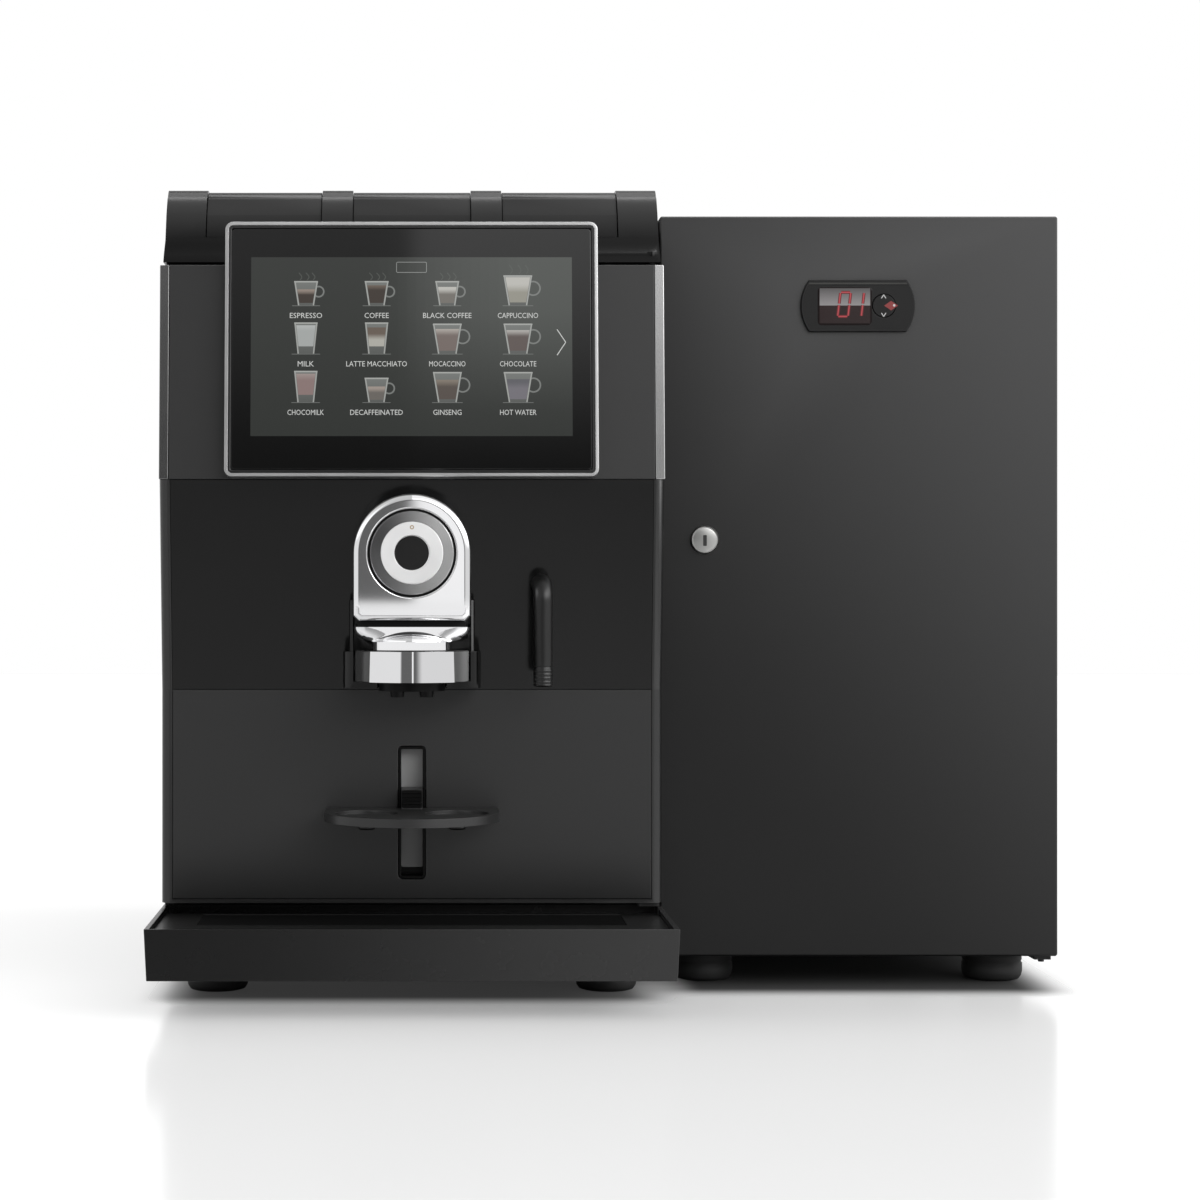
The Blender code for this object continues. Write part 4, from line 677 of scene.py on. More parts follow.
@dataclass
class Bench:
    """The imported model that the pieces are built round."""

    nodes: dict[str, bpy.types.Object]
    slots: dict[str, str]
    body: dict[str, str]

    @classmethod
    def open(cls) -> "Bench":
        """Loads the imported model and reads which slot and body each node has."""
        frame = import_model()
        record = frame["record"]
        slots = {part["node"]: part["material_slot"] for part in record["subparts"]}
        bodies = record["behaviour"]["bodies"]
        body = {node: name for name, members in bodies.items() for node in members}
        return cls(frame["nodes"], slots, body)

    def points(self, node: str) -> Points:
        """The corner points of a node's own mesh, n by 3."""
        mesh = self.nodes[node].data
        flat = np.zeros(len(mesh.vertices) * 3, np.float32)
        mesh.vertices.foreach_get("co", flat)
        return flat.reshape(-1, 3).astype(float)

    def dress(self, node: str) -> None:
        """Gives a node that stays the finish of its slot."""
        mesh = self.nodes[node].data
        mesh.materials.clear()
        mesh.materials.append(SLOT_FINISH[self.slots[node]].material())

    def add(
        self, name: str, form: Form, node: str, finish: Finish | None = None, stands_for: bool = True,
        crease: float = CREASE
    ) -> None:
        """Makes a piece that rides with a node and takes its slot.

        Args:
            name: The piece's name.
            form: Its surfaces.
            node: The node it belongs to.
            finish: Its finish, or None for that of the node's slot.
            stands_for: Whether it is shown in the node's place.
            crease: Angle in degrees above which an edge stays sharp.
        """
        self.adopt(name, form.mesh(name, crease), node, finish, stands_for)

    def adopt(
        self, name: str, mesh: bpy.types.Mesh, node: str, finish: Finish | None = None,
        stands_for: bool = True
    ) -> bpy.types.Object:
        """Makes a piece of a mesh that is already in place.

        Args:
            name: The piece's name.
            mesh: Its mesh.
            node: The node it belongs to.
            finish: Its finish, or None for that of the node's slot.
            stands_for: Whether it is shown in the node's place.

        Returns:
            The piece.
        """
        piece = in_scene(name, mesh)
        mesh.materials.clear()
        mesh.materials.append((finish or SLOT_FINISH[self.slots[node]]).material())
        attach(piece, self.body[node])
        if stands_for:
            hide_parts(node)
        log.info("%s rides on %s", name, self.body[node])
        return piece

    def softened(self, node: str, width: float, finish: Finish | None = None) -> None:
        """Makes a copy of a node with its edges rounded, which is shown in its place.

        Args:
            node: The node.
            width: Width of the rounding.
            finish: Its finish, or None for that of the node's slot.
        """
        mesh = self.nodes[node].data.copy()
        bm = bmesh.new()
        bm.from_mesh(mesh)
        bmesh.ops.remove_doubles(bm, verts=bm.verts, dist=DOUBLED)
        bmesh.ops.dissolve_limit(bm, angle_limit=FLAT_ANGLE, verts=bm.verts, edges=bm.edges)
        bm.to_mesh(mesh)
        bm.free()
        mesh.shade_smooth()
        mesh.set_sharp_from_angle(angle=BEVEL_ANGLE)
        piece = self.adopt(f"{node}_finished", mesh, node, finish)
        bevel = piece.modifiers.new("edges", "BEVEL")
        bevel.width = width
        bevel.segments = BEVEL_SEGMENTS
        bevel.limit_method = "ANGLE"
        bevel.angle_limit = BEVEL_ANGLE
        bevel.harden_normals = True


# ================================================================ planes and flat drawing
@dataclass
class Plane:
    """A flat face in space, with its own right, up and out directions."""

    origin: Points
    right: Points
    up: Points

    @classmethod
    def facing_front(cls, x: float, y: float, z: float, lean: float = 0.0) -> "Plane":
        """A plane that faces forward, with its top leaning back by an angle in radians."""
        up = np.array((0.0, math.sin(lean), math.cos(lean)))
        return cls(np.array((x, y, z)), np.array((1.0, 0.0, 0.0)), up)

    @property
    def out(self) -> Points:
        """The direction that the face looks in."""
        return np.cross(self.right, self.up)

    def matrix(self) -> Matrix:
        """Takes a shape made flat, with its depth growing backward along Y, to this plane."""
        columns = np.stack([self.right, -self.out, self.up], 1)
        made = np.eye(4)
        made[:3, :3] = columns
        made[:3, 3] = self.origin
        return Matrix(made.tolist())

    def at(self, flat: Points, lift: float) -> Points:
        """The origin plus the two flat coordinates along right and up and the lift along out."""
        return self.origin + flat[:, :1] * self.right + flat[:, 1:2] * self.up + lift * self.out


class Sketch:
    """Thin coloured shapes drawn on a plane, with a colour at each point."""

    def __init__(self, plane: Plane, lift: float) -> None:
        """Starts an empty drawing.

        Args:
            plane: The face that it lies on.
            lift: How far the first layer stands off that face.
        """
        self.plane = plane
        self.lift = lift
        self.points: list[Points] = []
        self.colours: list[Points] = []
        self.faces: list[list[int]] = []
        self.count = 0

    def _take(self, points: Points, colours: Points | Colour, faces: Points | list) -> None:
        """Adds points with their colours, and faces counted from the first of them."""
        tint = np.ones((len(points), 4))
        tint[:, :3] = colours
        self.points.append(points)
        self.colours.append(tint)
        self.faces += [[corner + self.count for corner in face] for face in faces]
        self.count += len(points)

    def strip(self, left: Points, right: Points, colours: Points | Colour, layer: int = 0) -> None:
        """A ribbon between two edges of as many points each.

        Args:
            left: One edge, n by 2.
            right: The other edge, n by 2.
            colours: One colour, or one for each of the n rows.
            layer: Which layer it lies in.
        """
        count = len(left)
        flat = np.concatenate([left, right])
        tint = np.tile(np.broadcast_to(colours, (count, 3)), (2, 1))
        step = np.arange(count - 1)
        faces = np.stack([step, step + count, step + count + 1, step + 1], 1).tolist()
        self._take(self.plane.at(flat, self.lift + layer * LAYER), tint, faces)

    def line(self, path: Points, width: float, colour: Points | Colour, layer: int = 0) -> None:
        """A ribbon of one width along a path, which steps aside along its own normal."""
        tangent = np.gradient(path, axis=0)
        normal = np.stack([-tangent[:, 1], tangent[:, 0]], 1) / np.linalg.norm(tangent, axis=1)[:, None]
        self.strip(path + normal * width / 2, path - normal * width / 2, colour, layer)

    def corner(self, path: Points, width: float, colour: Colour, layer: int) -> None:
        """Two straight lines that meet at the middle one of three points."""
        self.line(path[:2], width, colour, layer)
        self.line(path[1:], width, colour, layer)

    def fill(self, loop: Points, colour: Colour, layer: int = 0) -> None:
        """A flat shape of one colour."""
        self._take(self.plane.at(loop, self.lift + layer * LAYER), colour, [list(range(len(loop)))])

    def words(self, text: str, centre: Sequence[float], height: float, pitch: float, colour: Colour) -> None:
        """Plain lettering, whose capitals have the given height and whose letters the given pitch.

        Args:
            text: The words.
            centre: Middle of the line.
            height: Height of a capital.
            pitch: Width of the line over its number of letters.
            colour: Colour of the letters.
        """
        curve = bpy.data.curves.new("words", "FONT")
        curve.body = text
        curve.resolution_u = 2
        holder = in_scene("words", curve)
        mesh = bpy.data.meshes.new_from_object(holder.evaluated_get(bpy.context.evaluated_depsgraph_get()))
        flat = np.array([v.co[:2] for v in mesh.vertices])
        faces = [list(polygon.vertices) for polygon in mesh.polygons]
        bpy.data.objects.remove(holder)
        bpy.data.curves.remove(curve)
        bpy.data.meshes.remove(mesh)
        low, high = flat.min(0), flat.max(0)
        scale = np.array((pitch * len(text), height)) / (high - low)
        flat = (flat - (low + high) / 2) * scale + centre
        self._take(self.plane.at(flat, self.lift + 3 * LAYER), colour, faces)

    def mesh(self, name: str) -> bpy.types.Mesh:
        """Makes the mesh, with each point's colour in the attribute that lit finishes read."""
        mesh = bpy.data.meshes.new(name)
        mesh.from_pydata(np.concatenate(self.points).tolist(), [], self.faces)
        attribute = mesh.attributes.new(TINT, "FLOAT_COLOR", "POINT")
        attribute.data.foreach_set("color", np.concatenate(self.colours).astype(np.float32).ravel())
        return mesh


# ================================================================ display
class Cup(Enum):
    """Drawn cups: half width at the rim and the foot, height, and radius of the handle."""

    SHORT = (0.0083, 0.0057, 0.0166, 0.0036)
    MUG = (0.0100, 0.0066, 0.0206, 0.0048)
    GLASS = (0.0081, 0.0059, 0.0214, 0.0)


@dataclass(frozen=True)
class Drink:
    """One choice on the screen: its words, its cup and the colours of what is in it, from foot to rim."""

    label: str
    cup: Cup
    low: Colour
    high: Colour
    foam: float = 0.25
    level: float = 0.85
    steam: bool = False


COFFEE, CREMA, MILKY = (0.055, 0.042, 0.034), (0.33, 0.27, 0.23), (0.58, 0.57, 0.53)
CUP_BODY, CUP_HANDLE, CUP_BASE = (0.19, 0.20, 0.19), (0.22, 0.23, 0.22), (0.20, 0.21, 0.20)
CUP_WALL, CUP_MOUTH, STEAM = (0.42, 0.43, 0.41), (0.45, 0.46, 0.44), (0.10, 0.11, 0.10)
BOX_LINE, GROUND_TINT = (0.34, 0.35, 0.34), (1.0, 1.10, 1.0)
MARK_TINT, SIGN_TINT = (0.50, 0.36, 0.20), grey(0.75)
DROP_TINT, DOT_TINT = (0.30, 0.020, 0.020), (0.75, 0.72, 0.72)
DRINKS = (
    Drink("ESPRESSO", Cup.SHORT, COFFEE, CREMA, 0.25, 0.68, True),
    Drink("COFFEE", Cup.SHORT, COFFEE, (0.20, 0.155, 0.125), 0.12, 0.85, True),
    Drink("BLACK COFFEE", Cup.SHORT, (0.19, 0.175, 0.155), MILKY, 0.3, 0.78, True),
    Drink("CAPPUCCINO", Cup.MUG, (0.34, 0.33, 0.28), MILKY, 0.45, 0.96, True),
    Drink("MILK", Cup.GLASS, (0.44, 0.46, 0.45), (0.55, 0.57, 0.56), 0.1, 0.93),
    Drink("LATTE MACCHIATO", Cup.GLASS, (0.50, 0.49, 0.44), (0.16, 0.125, 0.10), 0.50, 0.86),
    Drink("MOCACCINO", Cup.MUG, (0.195, 0.155, 0.140), (0.50, 0.46, 0.42), 0.14, 0.84),
    Drink("CHOCOLATE", Cup.MUG, (0.125, 0.098, 0.090), (0.55, 0.53, 0.50), 0.14, 0.80),
    Drink("CHOCOMILK", Cup.GLASS, (0.30, 0.215, 0.205), (0.40, 0.33, 0.31), 0.15, 0.93),
    Drink("DECAFFEINATED", Cup.SHORT, (0.17, 0.155, 0.140), (0.40, 0.34, 0.30), 0.3, 0.66),
    Drink("GINSENG", Cup.MUG, (0.105, 0.085, 0.073), (0.26, 0.22, 0.18), 0.2, 0.76),
    Drink("HOT WATER", Cup.MUG, (0.20, 0.19, 0.215), (0.13, 0.13, 0.145), 0.3, 0.78),
)


@dataclass
class Display:
    """Tilted touch display: a silver rim, a black lip, the glass, and the picture behind it."""

    bench: Bench
    rim: float = 0.0025
    edge: float = 0.0007
    groove: float = 0.0007
    corner: float = 0.0055
    least_corner: float = 0.0012
    boss_reach: tuple[float, float] = (0.05, 0.10)
    boss_depth: float = 0.0301
    depth: float = 0.0125
    stand_off: float = 0.0002
    picture: tuple[float, float] = (0.2227, 0.1253)
    picture_up: float = 0.0015
    columns: int = 4
    column_pitch: float = 0.0490
    columns_right: float = 0.0003
    row_pitch: float = 0.0339
    first_base: float = 0.0288
    label_drop: float = 0.0071
    letter_height: float = 0.0037
    letter_pitch: float = 0.0028
    box_half: tuple[float, float] = (0.0104, 0.0036)
    box_drop: float = 0.0071
    arrow: tuple[float, float] = (0.006, 0.009)
    arrow_inset: float = 0.0045
    arrow_up: float = 0.0029

    def __post_init__(self) -> None:
        """Finds the face's plane from the glass and the outline's size from the frame."""
        points = self.bench.points("display_glass")
        low, high = points.min(0), points.max(0)
        near = 0.02
        foot = points[points[:, 2] < low[2] + near]
        head = points[points[:, 2] > high[2] - near]
        first, second = foot[foot[:, 1].argmin()], head[head[:, 1].argmin()]
        lean = math.atan2(second[1] - first[1], second[2] - first[2])
        self.glass_half = ((high[0] - low[0]) / 2, (second[2] - first[2]) / 2 / math.cos(lean) + 0.0015)
        frame_low, frame_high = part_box("display_frame")
        self.half_width = Facing.FRONT.half(frame_low, frame_high)[0]
        self.half_height = self.glass_half[1] + self.half_width - self.glass_half[0]
        front = first + (second - first) / np.linalg.norm(second - first) * self.glass_half[1]
        middle = (low[0] + high[0]) / 2
        self.plane = Plane.facing_front(middle, front[1] - self.stand_off, front[2], lean)

    def outline(self, distance: float, steps: int = 10) -> Points:
        """The display's rounded outline, moved inward."""
        corner = max(self.corner - distance, self.least_corner)
        return rounded_box(self.half_width - distance, self.half_height - distance, corner, steps=steps)

    def ring(self, profile: Iterable[tuple[float, float]]) -> Form:
        """Carries a closed profile of inset and depth round the display's outline."""
        rows = [Facing.FRONT.lay(self.outline(d), depth) for d, depth in profile]
        return Form().loft(rows, wrap=True).moved(self.plane.matrix())

    def build_frame(self) -> None:
        """The silver rim, the black lip with its thin ridge, and the closed back with its stand-off."""
        rolled = quarter_round(self.edge, np.linspace(0, math.pi / 2, 6)[::-1])
        profile = [
            (0.0012, self.depth), (0.0, self.depth - 0.0012), *rolled, (self.rim - 0.0003, 0.0),
            (self.rim, 0.0003), (self.rim, self.depth),
        ]
        self.bench.add("display_rim", self.ring(profile), "display_frame", RIM)
        wall, ridge = self.rim + 0.0001, self.rim + self.groove
        profile = [
            (wall, 0.0012), (wall, 0.0007), (ridge, 0.0007), (ridge + 0.0002, 0.0001),
            (ridge + 0.0007, 0.0001), (ridge + 0.0012, 0.0005), (ridge + 0.0012, 0.0034), (wall, 0.0034),
        ]
        self.bench.add("display_lip", self.ring(profile), "display_frame", LIP, False, crease=20)
        back = Form().slab(self.outline(self.rim + 0.0002), 0.0036, self.depth - 0.0004, Facing.FRONT)
        back.moved(self.plane.matrix())
        points = self.bench.points("display_frame")
        middle = self.plane.origin[0]
        reach = abs(points[:, 0] - middle)
        standing = (reach > self.boss_reach[0]) & (reach < self.boss_reach[1])
        boss = points[standing & (points[:, 1] > points[:, 1].max() - self.boss_depth)]
        flat = np.unique(np.round(boss[:, 1:], 5), axis=0)
        around = flat - flat.mean(0)
        loop = flat[np.argsort(np.arctan2(around[:, 1], around[:, 0]))]
        half = reach[standing].max()
        back.loft([Facing.SIDE.lay(loop, middle + side * half) for side in (-1, 1)])
        self.bench.add("display_back", back, "display_frame", DOOR_EDGE, False)

    def build_glass(self) -> None:
        """The black glass with a fine ground edge."""
        loop = rounded_box(*self.glass_half, 0.0025)
        form = Form().slab(loop, self.stand_off, 0.0030, Facing.FRONT, 0.0003).moved(self.plane.matrix())
        self.bench.add("display_glass_ground", form, "display_glass")

    def cup(self, sketch: Sketch, drink: Drink, u: float, v: float) -> None:
        """Draws one cup with its drink, handle, base line and steam.

        A side's distance from the middle goes straight from the foot's half width to the rim's.

        Args:
            sketch: The drawing.
            drink: What is in the cup.
            u: The cup's middle.
            v: The height that it stands at.
        """
        rim, foot, height, handle = drink.cup.value
        rows = np.linspace(0, 1, 16)

        def edge(share: Points, wall: float, side: int) -> Points:
            """Points of one side at shares of the height, moved in by the wall."""
            across = foot + (rim - foot) * share - wall
            return np.stack([u + side * across, v + height * share], 1)

        glass = np.array(CUP_BODY)[None] * (0.6 + 0.5 * rows[:, None])
        if handle:
            loop = arc((u + rim * 0.94 + handle * 0.25, v + height * 0.58), handle, -125, 125, 20)
            sketch.line(loop, 0.0011, CUP_HANDLE)
        sketch.strip(edge(rows, 0, -1), edge(rows, 0, 1), glass)
        bottom = 0.10 if handle else 0.24
        fill = bottom + (drink.level - bottom) * rows
        blend = np.clip((rows[:, None] - (1 - drink.foam) + 0.15) / 0.3, 0, 1)
        colours = np.array(drink.low) * (1 - blend) + np.array(drink.high) * blend
        sketch.strip(edge(fill, 0.0013, -1), edge(fill, 0.0013, 1), colours, 1)
        for side in (-1, 1):
            sketch.line(edge(rows, 0.0006, side), 0.0009, CUP_WALL, 2)
        mouth = np.stack([u + rim * np.linspace(-1, 1, 5), np.full(5, v + height)], 1)
        sketch.line(mouth, 0.0010, CUP_MOUTH, 2)
        base = np.stack([u + (foot + 0.004) * np.linspace(-1, 1, 5), np.full(5, v - 0.0003)], 1)
        sketch.line(base, 0.0004, CUP_BASE)
        if drink.steam:
            for side in (-0.5, 0.1, 0.6):
                rise = np.linspace(0, 1, 8)
                across, above = rim * side + 0.0012 * np.sin(rise * 4), height * (1.08 + 0.3 * rise)
                sketch.line(np.stack([u + across, v + above], 1), 0.0005, STEAM)

    def build_picture(self) -> None:
        """The lit picture: its ground with a painted reflection lightening its upper right, the drinks with
        their words, an empty box and an arrow.
        """
        half_width, half_height = self.picture[0] / 2, self.picture[1] / 2
        up = self.picture_up
        sketch = Sketch(self.plane, LAYER - self.stand_off)
        heights = np.linspace(-half_height, half_height, 24)
        columns = np.linspace(-half_width, half_width, 36)
        # Painted reflection: the ground lightens toward the upper right.
        for left, right in zip(columns[:-1], columns[1:]):
            painted_reflection_share = min(1.0, max(0.0, (left + 0.03) / 0.10))
            shade = 0.033 + 0.040 * np.clip((heights + 0.045) / 0.07, 0, 1) * painted_reflection_share
            sides = [np.stack([np.full_like(heights, x), heights + up], 1) for x in (left, right)]
            sketch.strip(*sides, shade[:, None] * np.array(GROUND_TINT))
        for number, drink in enumerate(DRINKS):
            u = (number % self.columns - (self.columns - 1) / 2) * self.column_pitch + self.columns_right
            v = self.first_base - number // self.columns * self.row_pitch + up
            sketch.lift += LAYER
            self.cup(sketch, drink, u, v)
            sketch.lift -= LAYER
            centre = (u, v - self.label_drop)
            sketch.words(drink.label, centre, self.letter_height, self.letter_pitch, LETTERS)
        box = rounded_box(*self.box_half, 0.0008, (0, half_height - self.box_drop + up), 3)
        sketch.line(np.concatenate([box, box[:2]]), 0.0004, BOX_LINE, 3)
        tip = (half_width - self.arrow_inset, self.arrow_up + up)
        deep, tall = self.arrow
        arrow = np.array([(tip[0] - deep, tip[1] + tall), tip, (tip[0] - deep, tip[1] - tall)])
        sketch.corner(arrow, 0.0006, LETTERS, 3)
        self.bench.adopt("screen_picture", sketch.mesh("screen_picture"), "display_glass", INK, False)

    def build(self) -> None:
        """Builds every piece of the display."""
        self.build_frame()
        self.build_glass()
        self.build_picture()


# ================================================================ dispensing head
def round_ended(radius: float, drop: float, cut: float, steps: int = 96) -> Points:
    """A half circle on straight sides, by its reach at each angle round the circle's middle.

    The reach is the radius above the middle. Below it, it is the least of the radius over the cosine, the
    drop over the sine, and their sum less the cut over the sum of cosine and sine, each without its sign.

    Args:
        radius: Radius of the round end and half the width.
        drop: How far the straight end lies below the middle.
        cut: How much of each lower corner is cut off.
        steps: Number of angles, to which those of the cut corners are added.

    Returns:
        The outline, counter-clockwise.
    """
    ends = np.array([math.atan2(drop - cut, radius), math.atan2(drop, radius - cut)])
    angles = np.linspace(0, 2 * math.pi, steps, endpoint=False)
    corners = np.concatenate([math.pi + ends, 2 * math.pi - ends])
    angles = angles[abs(angles[:, None] - corners[None]).min(1) > 0.08]
    angles = np.unique(np.concatenate([angles, corners]))
    cosine, sine = np.abs(np.cos(angles)), np.abs(np.sin(angles))
    low = np.minimum(radius / np.maximum(cosine, 1e-9), drop / np.maximum(sine, 1e-9))
    low = np.minimum(low, (radius + drop - cut) / (cosine + sine))
    reach = np.where(np.sin(angles) >= 0, radius, low)
    return np.stack([reach * np.cos(angles), reach * np.sin(angles)], 1)


@dataclass
class DispensingHead:
    """Chrome arch with its dial, the bowl and neck under it, and the collar round the nozzles."""

    bench: Bench
    foot: float = 0.047
    cut: float = 0.0042
    bevel: float = 0.0046
    recess: float = 0.0306
    recess_depth: float = 0.0040
    raised: float = 0.0012
    hole: float = 0.0120
    face_radius: float = 0.0212
    mark_up: float = 0.0174
    mark_radius: float = 0.0011
    ring_front: float = 0.0285
    ring_fall: float = 0.0007
    band: float = 0.0036
    lip_height: float = 0.0100
    lip_half: float = 0.0396
    neck: float = 0.0272
    skin_half_angle: float = 46.0
    skin: float = 0.0006
    dome: float = 0.0245
    dome_height: float = 0.0085
    taper: float = 0.0007
    bore: float = 0.024
    wall: float = 0.003

    def __post_init__(self) -> None:
        """Takes the places from the dial, the arch and the collar."""
        low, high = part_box("dial_ring")
        self.middle = Facing.FRONT.middle(low, high)
        self.ring = Facing.FRONT.half(low, high)[0]
        self.front = low.y + self.raised
        self.arch_low, self.arch_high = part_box("spout_arch")
        self.half = Facing.FRONT.half(self.arch_low, self.arch_high)[0]
        self.collar_low, self.collar_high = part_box("spout_collar")

    def build_arch(self) -> None:
        """The arch's face, its round recess and its rolled edge."""
        middle = np.array(self.middle)
        outline = round_ended(self.half, self.foot, self.cut)
        unit = outline / np.linalg.norm(outline, axis=1)[:, None]
        floor = self.front + self.recess_depth
        round_rows = (
            (0.0, floor), (self.recess, floor), (self.recess, self.front + 0.0005),
            (self.recess + 0.00015, self.front + 0.00015), (self.recess + 0.0005, self.front),
            (self.recess + 0.0007, self.front),
        )
        arch_rows = (
            (self.bevel + 0.0002, self.front), (self.bevel, self.front),
            *quarter_round(self.bevel, np.linspace(0, math.pi / 2, 12)[1:], self.front),
            (0.0, self.arch_high.y),
        )
        rows = [Facing.FRONT.lay(middle + unit * r, y) for r, y in round_rows]
        rows += [Facing.FRONT.lay(middle + inset(outline, d), y) for d, y in arch_rows]
        self.bench.add("spout_arch_face", Form().loft(rows), "spout_arch", crease=24)

    def plan(self, half_width: float, front: float, back: float, square: float, z: float) -> Points:
        """A superellipse in plan: width and depth times the cosine and sine to the power of two over square.

        Args:
            half_width: Half the width.
            front: Foremost y.
            back: Rearmost y.
            square: Two for an ellipse, more for squarer corners.
            z: Height.

        Returns:
            The loop, counter-clockwise, n by 3.
        """
        angle = np.linspace(0, 2 * math.pi, 96, endpoint=False)
        cosine, sine = np.cos(angle), np.sin(angle)
        x = self.middle[0] + half_width * np.sign(cosine) * np.abs(cosine) ** (2 / square)
        y = (front + back) / 2 + (back - front) / 2 * np.sign(sine) * np.abs(sine) ** (2 / square)
        return np.stack([x, y, np.full_like(x, z)], 1)

    def build_bowl(self) -> None:
        """The dark band under the face, and a bowl whose sides curve in and whose front coves out.

        Down the bowl the half width falls by a share of one less the root of one less the square of the way
        down, and the front comes forward by the fourth power of that share.
        """
        top = self.middle[1] - self.foot
        back = self.arch_high.y
        step = top - self.band * 0.4
        band = [self.plan(self.half - side, self.front + ahead, back - 0.003, 9, z) for side, ahead, z in (
            (0.0006, 0.0030, top + self.cut + 0.001), (0.0006, 0.0030, step),
            (0.0020, 0.0014, step), (0.0020, 0.0014, top - self.band),
        )]
        self.bench.add("spout_band", Form().loft(band), "spout_arch", RAIL, False)
        neck_y = self.arch_low.y + self.neck
        start = top - self.band + 0.0002
        rows = []
        for way in np.sin(np.linspace(0, math.pi / 2, 18)):
            share = 1 - math.sqrt(max(0.0, 1 - way * way))
            half = self.lip_half + (self.neck - self.lip_half) * share
            front = self.front + (self.arch_low.y - self.front) * share ** 4
            rear = back - 0.004 + (neck_y + self.neck - back + 0.004) * share
            rows.append(self.plan(half, front, rear, 7 - 3.8 * way ** 2, start - self.lip_height * way))
        for less, rise in ((0.0, 0.0005), (0.0006, 0.0)):
            half, front, rear = self.neck - less, self.arch_low.y + less, neck_y + self.neck - less
            rows.append(self.plan(half, front, rear, 3.2, self.arch_low.z + rise))
        self.bench.add("spout_bowl", Form().loft(rows), "spout_arch", None, False, crease=30)
        foot = start - self.lip_height
        turn = np.linspace(0, math.pi / 2, 14)
        # Painted reflection: the back dome is black and the chrome front dome sits inside it, so a thin black
        # arc shows round the chrome.
        for name, less, finish in (("back", 0.0, RAIL), ("front", 0.0014, None)):
            wide, tall = self.dome - less, self.dome_height - less
            profile = [(wide * math.cos(t), foot + tall * math.sin(t)) for t in turn]
            profile = [(wide, foot - 0.001), *profile[:-1], (0.0, foot + tall)]
            form = Form().turned(profile, (self.middle[0], neck_y - less * 2.4), Facing.UP, steps=72)
            self.bench.add(f"spout_dome_{name}", form, "spout_arch", finish, False)

    def build_collar(self) -> None:
        """The collar: a round front on straight sides, a bore underneath, and a bright skin in front; the
        rest is dark, with a painted reflection lightening toward the right.
        """
        low, high = self.collar_low, self.collar_high
        radius = (high.x - low.x) / 2
        middle = np.array((self.middle[0], low.y + radius))
        outline = (round_ended(radius, high.y - low.y - radius, 0.001) * (1, -1))[::-1]
        bore, ceiling = self.bore, high.z - self.wall
        unit = outline / np.linalg.norm(outline, axis=1)[:, None]
        inner = self.taper + 0.0002
        edges = round_edge(high.z, low.z, 0.0007)
        rows = [Facing.UP.lay(middle + inset(outline, d + inner), z) for d, z in edges]
        rows += [Facing.UP.lay(middle + unit * r, z) for r, z in (
            (bore + 0.0004, low.z), (bore, low.z + 0.0004), (bore, ceiling), (0.0, ceiling),
        )]
        # The collar body carries painted reflection: dark, lightening toward its right side.
        self.bench.add("spout_collar_rolled", Form().loft(rows), "spout_collar", COLLAR_PAINTED_REFLECTION, crease=24)
        half = self.skin_half_angle
        rows = []
        for share in (0.0, 0.03, 0.5, 0.97, 1.0):
            outer = arc(middle, radius - self.taper * share, 270 - half, 270 + half, 60)
            rear = arc(middle, radius - self.skin - self.taper, 270 + half, 270 - half, 60)
            rows.append(Facing.UP.lay(np.concatenate([outer, rear]), low.z + share * (high.z - low.z)))
        self.bench.add("spout_collar_skin", Form().loft(rows), "spout_collar", None, False, crease=24)

    def build_dial(self) -> None:
        """The dark satin ring, the bright raised ring with its small mark, and the black button."""
        y, back = self.front, self.front + self.recess_depth - 0.0003
        edge, inner, rim = 0.0004, self.face_radius + 0.0002, self.ring_front
        outer = [
            (inner, back), (inner, y - 0.0004), (rim - 0.0006, y - 0.0004 + self.ring_fall),
            (rim, y + self.ring_fall + 0.0001), (rim + 0.0002, y + self.ring_fall + 0.0006),
            (rim + 0.0002, back),
        ]
        form = Form().turned(outer, self.middle, Facing.FRONT, wrap=True, steps=96)
        self.bench.add("dial_outer_ring", form, "dial_ring", crease=25)
        gap = [
            (rim, back - 0.0001), (rim, y + 0.0014), (self.ring - 0.0002, y + 0.0016),
            (self.ring, y + 0.0019), (self.ring, back),
        ]
        form = Form().turned(gap, self.middle, Facing.FRONT, wrap=True, steps=96)
        self.bench.add("dial_gap", form, "dial_ring", SHADOW_GAP, False)
        hole, top = self.hole, y - self.raised
        face = [
            (hole, back - 0.0004), (hole, top + edge), (hole + edge, top), (self.face_radius - edge, top),
            (self.face_radius, top + edge), (self.face_radius, back - 0.0004),
        ]
        form = Form().turned(face, self.middle, Facing.FRONT, wrap=True)
        self.bench.add("dial_face_ring", form, "dial_ring", DIAL_FACE, False, crease=25)
        sketch = Sketch(Plane.facing_front(self.middle[0], top, self.middle[1]), 0.00003)
        sketch.line(arc((0, self.mark_up), self.mark_radius, 0, 360, 20), 0.0007, MARK_TINT)
        self.bench.adopt("dial_mark", sketch.mesh("dial_mark"), "dial_ring", PRINT_PAINTED_GLOW, False)
        low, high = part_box("dial_button")
        radius = Facing.FRONT.half(low, high)[0]
        cap = [
            (0.0, low.y), (radius * 0.6, low.y + 0.00003), (radius - 0.0006, low.y + 0.0001),
            (radius, low.y + 0.0007), (radius, low.y + 0.0024), (0.0, low.y + 0.0024),
        ]
        form = Form().turned(cap, self.middle, Facing.FRONT)
        self.bench.add("dial_button_cap", form, "dial_button", BUTTON)

    def build(self) -> None:
        """Builds every piece of the head."""
        self.build_arch()
        self.build_bowl()
        self.build_collar()
        self.build_dial()


